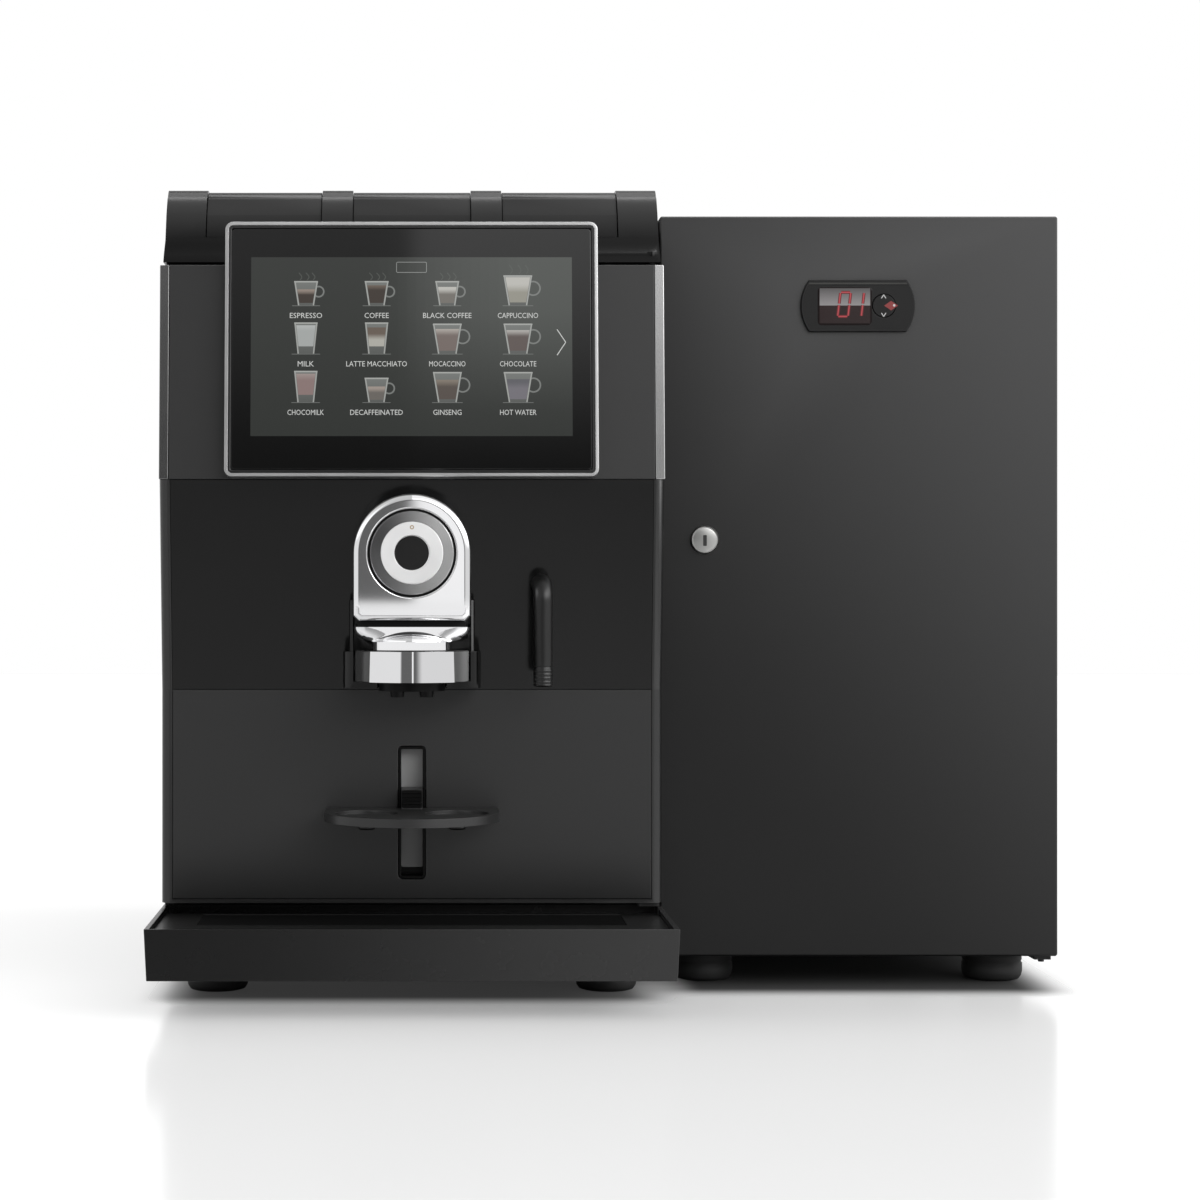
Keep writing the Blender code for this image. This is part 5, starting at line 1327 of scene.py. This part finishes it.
# ================================================================ small front parts
@dataclass
class Wand:
    """Hot water wand: out of the door, round an elbow and down to a ribbed nozzle."""

    bench: Bench
    elbow: float = 0.0120
    nozzle: float = 0.0130
    ribs: int = 5
    rib: float = 0.00028

    def build(self) -> None:
        """Carries a circle along the path; near the foot its radius follows a square wave of ribs."""
        low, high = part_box("hot_water_wand")
        radius = (high.x - low.x) / 2
        x, y = (low.x + high.x) / 2, low.y + radius
        axis = high.z - radius
        stub = np.array([(along, axis) for along in np.linspace(high.y, y + self.elbow, 4)])
        turn = arc((y + self.elbow, axis - self.elbow), self.elbow, 90, 180, 16)[1:]
        foot = np.stack([np.full(120, y), np.linspace(axis - self.elbow, low.z, 121)[1:]], 1)
        flat = np.concatenate([stub, turn, foot])
        path = np.column_stack([np.full(len(flat), x), flat])
        above = path[:, 2] - low.z
        wave = (np.floor(above / self.nozzle * self.ribs * 2) % 2) * self.rib
        reach = np.where(above < self.nozzle, radius - wave, radius - 0.0001)
        reach = np.where((above > self.nozzle) & (above < self.nozzle + 0.001), radius - 0.0006, reach)
        reach[above < 0.0006] = radius - 0.0006
        reach[above < 0.0001] = radius - 0.0012
        self.bench.add("wand_tube", Form().sweep(path, reach, (1, 0, 0), 40), "hot_water_wand", crease=50)
        mouth = ((0.0, 0.0002), (0.0034, 0.0002), (0.0036, 0.00002), (0.0, 0.00001))
        form = Form().turned([(r, low.z + z) for r, z in mouth], (x, y), Facing.UP, steps=32)
        self.bench.add("wand_mouth", form, "hot_water_wand", RUBBER, False)


@dataclass
class Shelf:
    """Cup shelf: ridges and a cover on its slide, two bosses below, and the pale channel it runs in, with
    painted light on its plate.
    """

    bench: Bench
    rim: float = 0.0019
    ridges: int = 4
    ridge: float = 0.0007
    ridge_half: float = 0.0064
    ridge_pitch: float = 0.0026
    ridge_drop: float = 0.0022
    cover_half: tuple[float, float] = (0.0071, 0.0062)
    cover_drop: float = 0.0066
    dark_end: float = 0.0050
    boss_apart: float = 0.031
    boss_back: float = 0.049

    def build(self) -> None:
        """Adds the channel's floor plate, the slide's ridges and cover, and the bosses under the shelf."""
        low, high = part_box("shelf_rail")
        half, tall = (size - self.rim for size in Facing.FRONT.half(low, high))
        x, z = Facing.FRONT.middle(low, high)
        floor = high.y - 0.0025
        loop = rounded_box(half, tall - self.dark_end / 2, 0.0012, (x, z + self.dark_end / 2))
        plate = Form().slab(loop, floor - 0.0002, floor - 0.00002, Facing.FRONT, 0.0001)
        self.bench.add("rail_channel_plate", plate, "shelf_rail", CHANNEL_PAINTED_LIGHT, False)
        low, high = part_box("cup_shelf")
        knuckle = self.bench.points("cup_shelf")
        x, z = (low.x + high.x) / 2, knuckle[:, 2].max()
        front = knuckle[knuckle[:, 2] > z - 0.001][:, 1].min()
        form = Form()
        for number in range(self.ridges):
            loop = circle((front, z - self.ridge_drop - number * self.ridge_pitch), self.ridge, 12)
            form.loft([Facing.SIDE.lay(loop, x + side * self.ridge_half) for side in (-1, 1)])
        self.bench.add("shelf_slide_ridges", form, "cup_shelf", RAIL, False)
        cover = rounded_box(*self.cover_half, 0.0012, (x, z - self.cover_drop))
        form = Form().slab(cover, front - 0.0003, front + 0.0008, Facing.FRONT, 0.00025)
        self.bench.add("shelf_slide_cover", form, "cup_shelf", RAIL, False)
        under = knuckle[:, 2].min()
        profile = ((0.0, -0.0012), (0.0052, -0.0012), (0.0058, -0.0006), (0.0058, 0.001), (0.0, 0.001))
        rings = [(r, under + z) for r, z in profile]
        form = Form()
        for side in (-1, 1):
            form.turned(rings, (x + side * self.boss_apart, low.y + self.boss_back), Facing.UP, steps=36)
        self.bench.add("shelf_bosses", form, "cup_shelf", RAIL, False)


@dataclass
class Tray:
    """Black lining between the slots of the tray's cover, and the bead along the tray's back rim."""

    bench: Bench
    lining: float = 0.0003
    bead: float = 0.0008

    def build(self) -> None:
        """Lays a strip between each slot and the next, found from the cover's own corner points."""
        points = self.bench.points("cup_grate")
        top = points[:, 2].max()
        sunk = points[(points[:, 2] < top - 0.0003) & (points[:, 2] > top - 0.0009)]
        low, high = sunk.min(0), sunk.max(0)
        centre = (low + high) / 2
        half = (high[1] - low[1]) / 2
        inside = sunk[abs(sunk[:, 1] - centre[1]) < half - 0.0004]
        edges = [low[0], *np.unique(np.round(inside[:, 0], 5)), high[0]]
        gaps = np.diff(edges)
        form = Form()
        for left, right in zip(edges[:-1], edges[1:]):
            if right - left >= gaps.max() * 0.6:
                middle = ((left + right) / 2, centre[1])
                loop = rounded_box((right - left) / 2, half - 0.0001, 0.0002, middle, 1)
                form.loft([Facing.UP.lay(loop, low[2] + lift) for lift in (0.00003, self.lining)])
        self.bench.add("cover_lining", form, "cup_grate", GRILLE, False)
        low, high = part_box("drip_tray")
        x = (low.x + high.x) / 2 + ((high.x - low.x) / 2 - 0.0085) * np.linspace(-1, 1, 12)
        path = np.stack([x, np.full(12, high.y - self.bead * 1.2), np.full(12, high.z - self.bead * 0.3)], 1)
        form = Form().sweep(path, self.bead, (0, 1, 0), 16)
        self.bench.add("tray_back_bead", form, "drip_tray", LIP, False)


FOOT_PROFILE = (
    (0.0, 0.0), (0.80, 0.0), (0.90, 0.03), (0.97, 0.14), (1.0, 0.28), (1.0, 0.52), (0.965, 0.56),
    (0.965, 0.62), (0.99, 0.66), (0.97, 0.86), (0.93, 0.97), (0.90, 1.0), (0.0, 1.0),
)


@dataclass
class Feet:
    """Rubber feet: a turned pad with a groove, under both housings."""

    bench: Bench

    def build(self) -> None:
        """Turns each foot from its node's box."""
        for node in sorted(self.bench.nodes):
            if "_foot_" not in node:
                continue
            low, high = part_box(node)
            radius, tall = (high.x - low.x) / 2, high.z - low.z
            rings = [(r * radius, low.z + z * tall) for r, z in FOOT_PROFILE]
            form = Form().turned(rings, Facing.UP.middle(low, high), Facing.UP, steps=56)
            self.bench.add(f"{node}_turned", form, node, crease=50)


LOCK_PROFILE = (
    (0.0, -0.0001), (0.86, -0.0001), (0.90, 0.0), (0.96, 0.0002), (0.99, 0.0006), (1.003, 0.0013),
    (1.003, 0.0026), (0.0, 0.0026),
)


@dataclass
class CamLock:
    """Head of a cam lock: a flat face with a rolled edge, and a black sheet on it as painted shade of the key
    slot.
    """

    bench: Bench
    node: str
    slot_width: float = 0.14
    slot_height: float = 0.42

    def build(self) -> None:
        """Turns the head about the lock's axis and lays the key slot's painted shade on it."""
        points = self.bench.points(self.node)
        face = points[:, 1].min()
        head = points[points[:, 1] < face + 0.0012]
        low, high = head.min(0), head.max(0)
        centre, radius = Facing.FRONT.middle(low, high), (high[0] - low[0]) / 2
        form = Form().turned([(r * radius, face + d) for r, d in LOCK_PROFILE], centre, Facing.FRONT)
        self.bench.add(f"{self.node}_face", form, self.node, None, False, crease=30)
        middle = (centre[0], centre[1] - radius * 0.06)
        # Painted shade: the key slot is a black sheet standing just in front of the face.
        slot = rounded_box(radius * self.slot_width, radius * self.slot_height, radius * 0.05, middle, 3)
        form = Form().slab(slot, face - 0.00022, face - 0.00004, Facing.FRONT, 0.00003)
        self.bench.add(f"{self.node}_slot", form, self.node, RUBBER, False)


SEGMENT_ENDS = {
    "a": ((0, 1), (1, 1)), "b": ((1, 1), (1, 0.5)), "c": ((1, 0.5), (1, 0)), "d": ((0, 0), (1, 0)),
    "e": ((0, 0), (0, 0.5)), "f": ((0, 0.5), (0, 1)), "g": ((0, 0.5), (1, 0.5)),
}
DIGIT_TINT, DIGIT_HALO = (0.44, 0.060, 0.070), (0.12, 0.012, 0.014)


@dataclass
class Thermostat:
    """Thermostat in its bezel: bowed ends, a tinted window with two digits, and a key field."""

    bench: Bench
    digit_height: float = 0.0172
    digit_width: float = 0.0074
    stroke: float = 0.0009
    slant: float = 0.12
    window_half: tuple[float, float] = (0.0194, 0.0137)

    def bowed(self, half_width: float, half_height: float, bow: float, centre: Sequence[float]) -> Points:
        """A box whose two ends are arcs that stand out by the bow.

        Args:
            half_width: Half the width at the middle.
            half_height: Half the height.
            bow: How far each end stands out at its middle.
            centre: Middle of the shape.

        Returns:
            The outline, counter-clockwise.
        """
        radius = (half_height ** 2 + bow ** 2) / (2 * bow)
        sweep = math.degrees(math.asin(half_height / radius))
        right = arc((centre[0] + half_width - radius, centre[1]), radius, -sweep, sweep, 14)
        left = arc((centre[0] - half_width + radius, centre[1]), radius, 180 - sweep, 180 + sweep, 14)
        return np.concatenate([right, left])

    def digit(self, sketch: Sketch, segments: str, u: float, v: float) -> None:
        """Draws the named segments of one slanted digit."""
        tall, wide, thick = self.digit_height, self.digit_width, self.stroke
        for name in segments:
            path = np.array(SEGMENT_ENDS[name], float)
            path[:, 0] = u + (path[:, 0] - 0.5) * wide + (path[:, 1] - 0.5) * tall * self.slant
            path[:, 1] = v + (path[:, 1] - 0.5) * tall
            along = (path[1] - path[0]) / np.linalg.norm(path[1] - path[0]) * thick * 0.55
            path = np.array([path[0] + along, path[1] - along])
            sketch.line(path, thick * 2.4, DIGIT_HALO, 1)
            sketch.line(path, thick, DIGIT_TINT, 2)

    def build(self) -> None:
        """Builds the bezel with a painted highlight, the window with a painted sheen, the digits, the key
        field and its signs.
        """
        low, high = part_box("thermostat")
        centre = Facing.FRONT.middle(low, high)
        half_width, half_height = Facing.FRONT.half(low, high)
        self.bench.softened("thermostat", 0.0005, PANEL_GREY)
        self.bench.softened("thermostat_keypad", 0.0002, PANEL_GREY)
        outer = self.bowed(half_width + 0.0002, half_height + 0.0002, 0.006, centre)
        profile = (
            (0.0, 0.0026), (0.0, 0.0009), (0.0004, -0.0001), (0.0013, -0.0001), (0.0015, 0.0002),
            (0.0015, 0.0026),
        )
        rim = Form().moulding(outer, [(d, low.y + y) for d, y in profile], Facing.FRONT, wrap=True)
        self.bench.add("thermostat_rim", rim, "thermostat", BUTTON, False)
        # The ridge band is a painted highlight; the line above it is a painted shadow gap.
        for name, down, thick, finish in (
            ("line", 0.0034, 0.0001, SHADOW_GAP), ("ridge", 0.0024, 0.0006, RIDGE_PAINTED_HIGHLIGHT),
        ):
            middle = (centre[0], centre[1] + half_height - down)
            line = rounded_box(half_width - 0.005, thick, thick * 0.9, middle, 2)
            form = Form().slab(line, low.y - 0.00008, low.y + 0.0002, Facing.FRONT, 0.00003)
            self.bench.add(f"thermostat_{name}", form, "thermostat", finish, False)
        window = (centre[0] - 0.0094, centre[1] - 0.0003)
        loop = rounded_box(*self.window_half, 0.0030, window)
        form = Form().slab(loop, low.y - 0.00025, low.y + 0.0004, Facing.FRONT, 0.0002)
        self.bench.add("thermostat_window", form, "thermostat", WINDOW, False)
        sketch = Sketch(Plane.facing_front(0, low.y - 0.00025, 0), 0.00002)
        wide, tall = self.window_half
        # Painted reflection: a pale sheen fading down the window's upper half and a dim dark red lower half,
        # both drawn as glowing colour.
        for bottom, top, tint, start, change in (
            (0.03, 0.93, (1.0, 0.95, 0.96), 0.27, -0.20), (-0.9, 0.03, (0.014, 0.0035, 0.0035), 1.0, 0.2),
        ):
            rows = np.linspace(bottom, top, 10)[:, None]
            flat = [np.hstack([side * wide * 0.93 + rows * 0, rows * tall]) for side in (-1, 1)]
            left, right = (np.array(window) + side for side in flat)
            sketch.strip(left, right, (start + change * rows) * np.array(tint))
        self.digit(sketch, "abcdef", window[0] - 0.0005, window[1] + 0.0012)
        self.digit(sketch, "bc", window[0] + 0.0090, window[1] + 0.0012)
        self.bench.adopt("thermostat_digits", sketch.mesh("thermostat_digits"), "thermostat", DIGITS, False)
        key_low, key_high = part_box("thermostat_keypad")
        middle = Facing.FRONT.middle(key_low, key_high)
        face = Sketch(Plane.facing_front(middle[0], min(key_low.y, low.y), middle[1]), 0.00006)
        for side in (1, -1):
            peak = np.array([(-0.0019, side * 0.0052), (-0.0003, side * 0.0078), (0.0013, side * 0.0052)])
            face.corner(peak, 0.0006, SIGN_TINT, 1)
        mark = np.array([(0.0100, 0.0), (0.0050, 0.0034), (0.0, 0.0), (0.0050, -0.0034)])
        face.fill(mark, DROP_TINT, 1)
        face.fill(circle((0.0072, 0.0002), 0.0009, 16), DOT_TINT, 2)
        self.bench.adopt("thermostat_signs", face.mesh("thermostat_signs"), "thermostat_keypad", PRINT_PAINTED_GLOW, False)


# ================================================================ studio
LAMPS = (
    ("top_strip", (0.0, 0.25, 2.1), (0.0, 0.0, 0.4), (2.4, 0.22), 12.0),
    ("right_soft", (1.35, -1.5, 1.3), (0.25, 0.0, 0.4), (0.9, 0.9), 6.0),
)


@dataclass
class Studio:
    """Camera, pale floor and soft light."""

    bench: Bench
    eye_distance: float = 1.705
    eye_height: float = 0.277
    focal_share: float = 2.0175
    shift: float = 0.1567
    sensor: float = 36.0
    floor_size: float = 14.0
    floor_drop: float = 0.0002
    machine_painted_shadow_front: float = 0.054
    fridge_painted_shadow_front: float = 0.052
    machine_painted_shadow_weight: float = 0.90
    floor_glow: float = 0.30

    def camera(self) -> None:
        """A level camera in front of the machine's middle, with the view shifted to take in both housings."""
        middle = sum(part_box("spout_arch"), Vector()) / 2
        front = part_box("door_lower_panel")[0].y
        data = bpy.data.cameras.new("eye")
        data.sensor_width = self.sensor
        data.lens = self.sensor * self.focal_share
        data.shift_x = self.shift
        data.clip_end = 50
        eye = in_scene("eye", data)
        eye.location = (middle.x, front - self.eye_distance, self.eye_height)
        eye.rotation_euler = (math.pi / 2, 0, 0)
        bpy.context.scene.camera = eye

    def floor(self) -> None:
        """A large pale floor that keeps the lamps' shadow and a faint blurred reflection, with painted shadow
        under both housings.
        """
        half = self.floor_size / 2
        corners = half * np.array([(-1, -1), (1, -1), (1, 1), (-1, 1)])
        mesh = bpy.data.meshes.new("floor")
        mesh.from_pydata(Facing.UP.lay(corners, -self.floor_drop).tolist(), [], [(0, 1, 2, 3)])
        floor = in_scene("floor", mesh)
        material, recipe = blank_material("floor")
        grain = recipe.noise(0.002, 2)
        x, y, _ = recipe.axes(recipe.place())
        # Painted shadow: under the machine and the fridge the floor turns near black and loses its camera
        # glow.
        machine = self.under(x, y, "base_frame", self.machine_painted_shadow_front) * self.machine_painted_shadow_weight
        painted_shadow = machine + self.under(x, y, "fridge_cabinet", self.fridge_painted_shadow_front)
        light = recipe.noise(0.5, 3).between(grey(0.57), grey(0.60))
        values = {
            "Base Color": recipe.mix(painted_shadow, light, (*grey(0.006), 1)), "Roughness": painted_shadow * 0.7 + 0.17,
            "Specular IOR Level": 0.9, "Normal": recipe.bump(grain, 0.000004),
        }
        surface = recipe.add("ShaderNodeBsdfPrincipled", {}, values)
        seen = recipe.add("ShaderNodeLightPath", output="Is Camera Ray")
        strength = seen * (1 - painted_shadow) * self.floor_glow
        glow = recipe.add("ShaderNodeEmission", {}, {"Color": (1, 1, 1, 1), "Strength": strength})
        both = recipe.add("ShaderNodeAddShader", {}, {0: surface, 1: glow})
        recipe.add("ShaderNodeOutputMaterial", {}, {"Surface": both})
        mesh.materials.append(material)

    def under(self, x: Signal, y: Signal, node: str, front: float) -> Signal:
        """Painted shadow: one beneath a node and nought outside it, with soft edges.

        Args:
            x: Place on the floor along X.
            y: Place on the floor along Y.
            node: The node that stands over the floor.
            front: How far in front of the node the painted shadow begins.

        Returns:
            The painted shadow.
        """
        low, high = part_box(node)
        across = x.step(low.x - 0.02, low.x + 0.03) * (1 - x.step(high.x - 0.03, high.x + 0.02))
        ahead, behind = low.y - front, 1 - y.step(high.y - 0.03, high.y + 0.03)
        return across * y.step(ahead, ahead + 0.045) * behind

    def world(self) -> None:
        """Soft light from all round: dim ahead and a little to the left, brighter further left and right.

        The direction's azimuth is the angle from straight behind the camera, positive to the right.
        """
        world = bpy.data.worlds.new("studio")
        bpy.context.scene.world = world
        world.use_nodes = True
        recipe = Recipe(world.node_tree)
        x, y, z = recipe.axes(recipe.add("ShaderNodeTexCoord", output="Generated"))
        azimuth = recipe.add("ShaderNodeMath", {"operation": "ARCTAN2"}, {0: x, 1: y * -1.0})
        right = azimuth.step(-0.003, 0.004)
        near = right * (1 - azimuth.step(0.035, 0.07))
        far_right = azimuth.step(0.10, 0.38)
        left = 1 - azimuth.step(-0.42, -0.34)
        low = 1 - z.step(0.09, 0.17)
        high = z.step(0.20, 0.31)
        below = 1 - z.step(-0.002, 0.0005)
        above = z.step(0.40, 0.85)
        behind = y.step(-0.1, 0.4)
        front = 0.13 + high * 0.45 + near * low * 0.87 + right * high * 0.75
        front = front + far_right * (0.62 + z.step(0.05, 0.40) * 3.0) + left * 0.70
        front = front * (1 - below) + below * 0.95
        light = front * (1 - behind) + behind * 0.85
        light = light * (1 - above) + above * (0.62 + right * 0.4)
        seen = recipe.add("ShaderNodeLightPath", output="Is Camera Ray")
        strength = light * (1 - seen) + seen
        background = recipe.add("ShaderNodeBackground", {}, {"Color": (1, 1, 1, 1), "Strength": strength})
        recipe.add("ShaderNodeOutputWorld", {}, {"Surface": background})

    def lamp(
        self, name: str, place: Sequence[float], aim: Sequence[float], size: Sequence[float], power: float
    ) -> None:
        """A soft rectangular lamp.

        Args:
            name: The lamp's name.
            place: Its middle.
            aim: The point it faces.
            size: Its width and height.
            power: Its power in watts.
        """
        data = bpy.data.lights.new(name, "AREA")
        data.shape = "RECTANGLE"
        data.size, data.size_y = size
        data.energy = power
        lamp = in_scene(name, data)
        lamp.location = place
        lamp.rotation_euler = (Vector(aim) - Vector(place)).to_track_quat("-Z", "Y").to_euler()

    def build(self) -> None:
        """Sets the view, the camera, the floor, the world and the lamps."""
        bpy.context.scene.view_settings.view_transform = "Standard"
        self.camera()
        self.floor()
        self.world()
        for lamp in LAMPS:
            self.lamp(*lamp)
        log.info("studio ready")


SOFTENED = {
    "base_frame": 0.0006, "side_panel_left": 0.0006, "side_panel_right": 0.0006, "rear_panel": 0.0006,
    "top_hood": 0.0006, "hopper_lid_left": 0.0006, "hopper_lid_centre": 0.0006, "hopper_lid_right": 0.0006,
    "door_shell": 0.0006, "door_upper_panel": 0.0005, "door_middle_panel": 0.0005, "door_lower_panel": 0.0005,
    "side_trim_left": 0.0006, "side_trim_right": 0.0006, "spout_shroud": 0.0008, "cup_shelf": 0.0012,
    "side_lock": 0.0004, "drip_tray": 0.0017, "cup_grate": 0.0004, "fridge_cabinet": 0.0015,
    "fridge_door": 0.0018,
}


def main() -> None:
    """Builds every piece in order."""
    logging.basicConfig(level=logging.INFO, format="%(message)s")
    bench = Bench.open()
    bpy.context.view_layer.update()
    Studio(bench).build()
    for node in bench.nodes:
        bench.dress(node)
    for node, width in SOFTENED.items():
        bench.softened(node, width)
    bench.softened("outlet_nozzles", 0.0004, RAIL)
    bench.softened("shelf_rail", 0.0004, RAIL)
    for made in (Display, DispensingHead, Wand, Shelf, Tray, Feet):
        made(bench).build()
    CamLock(bench, "fridge_lock").build()
    Thermostat(bench).build()


if __name__ == "__main__":
    main()
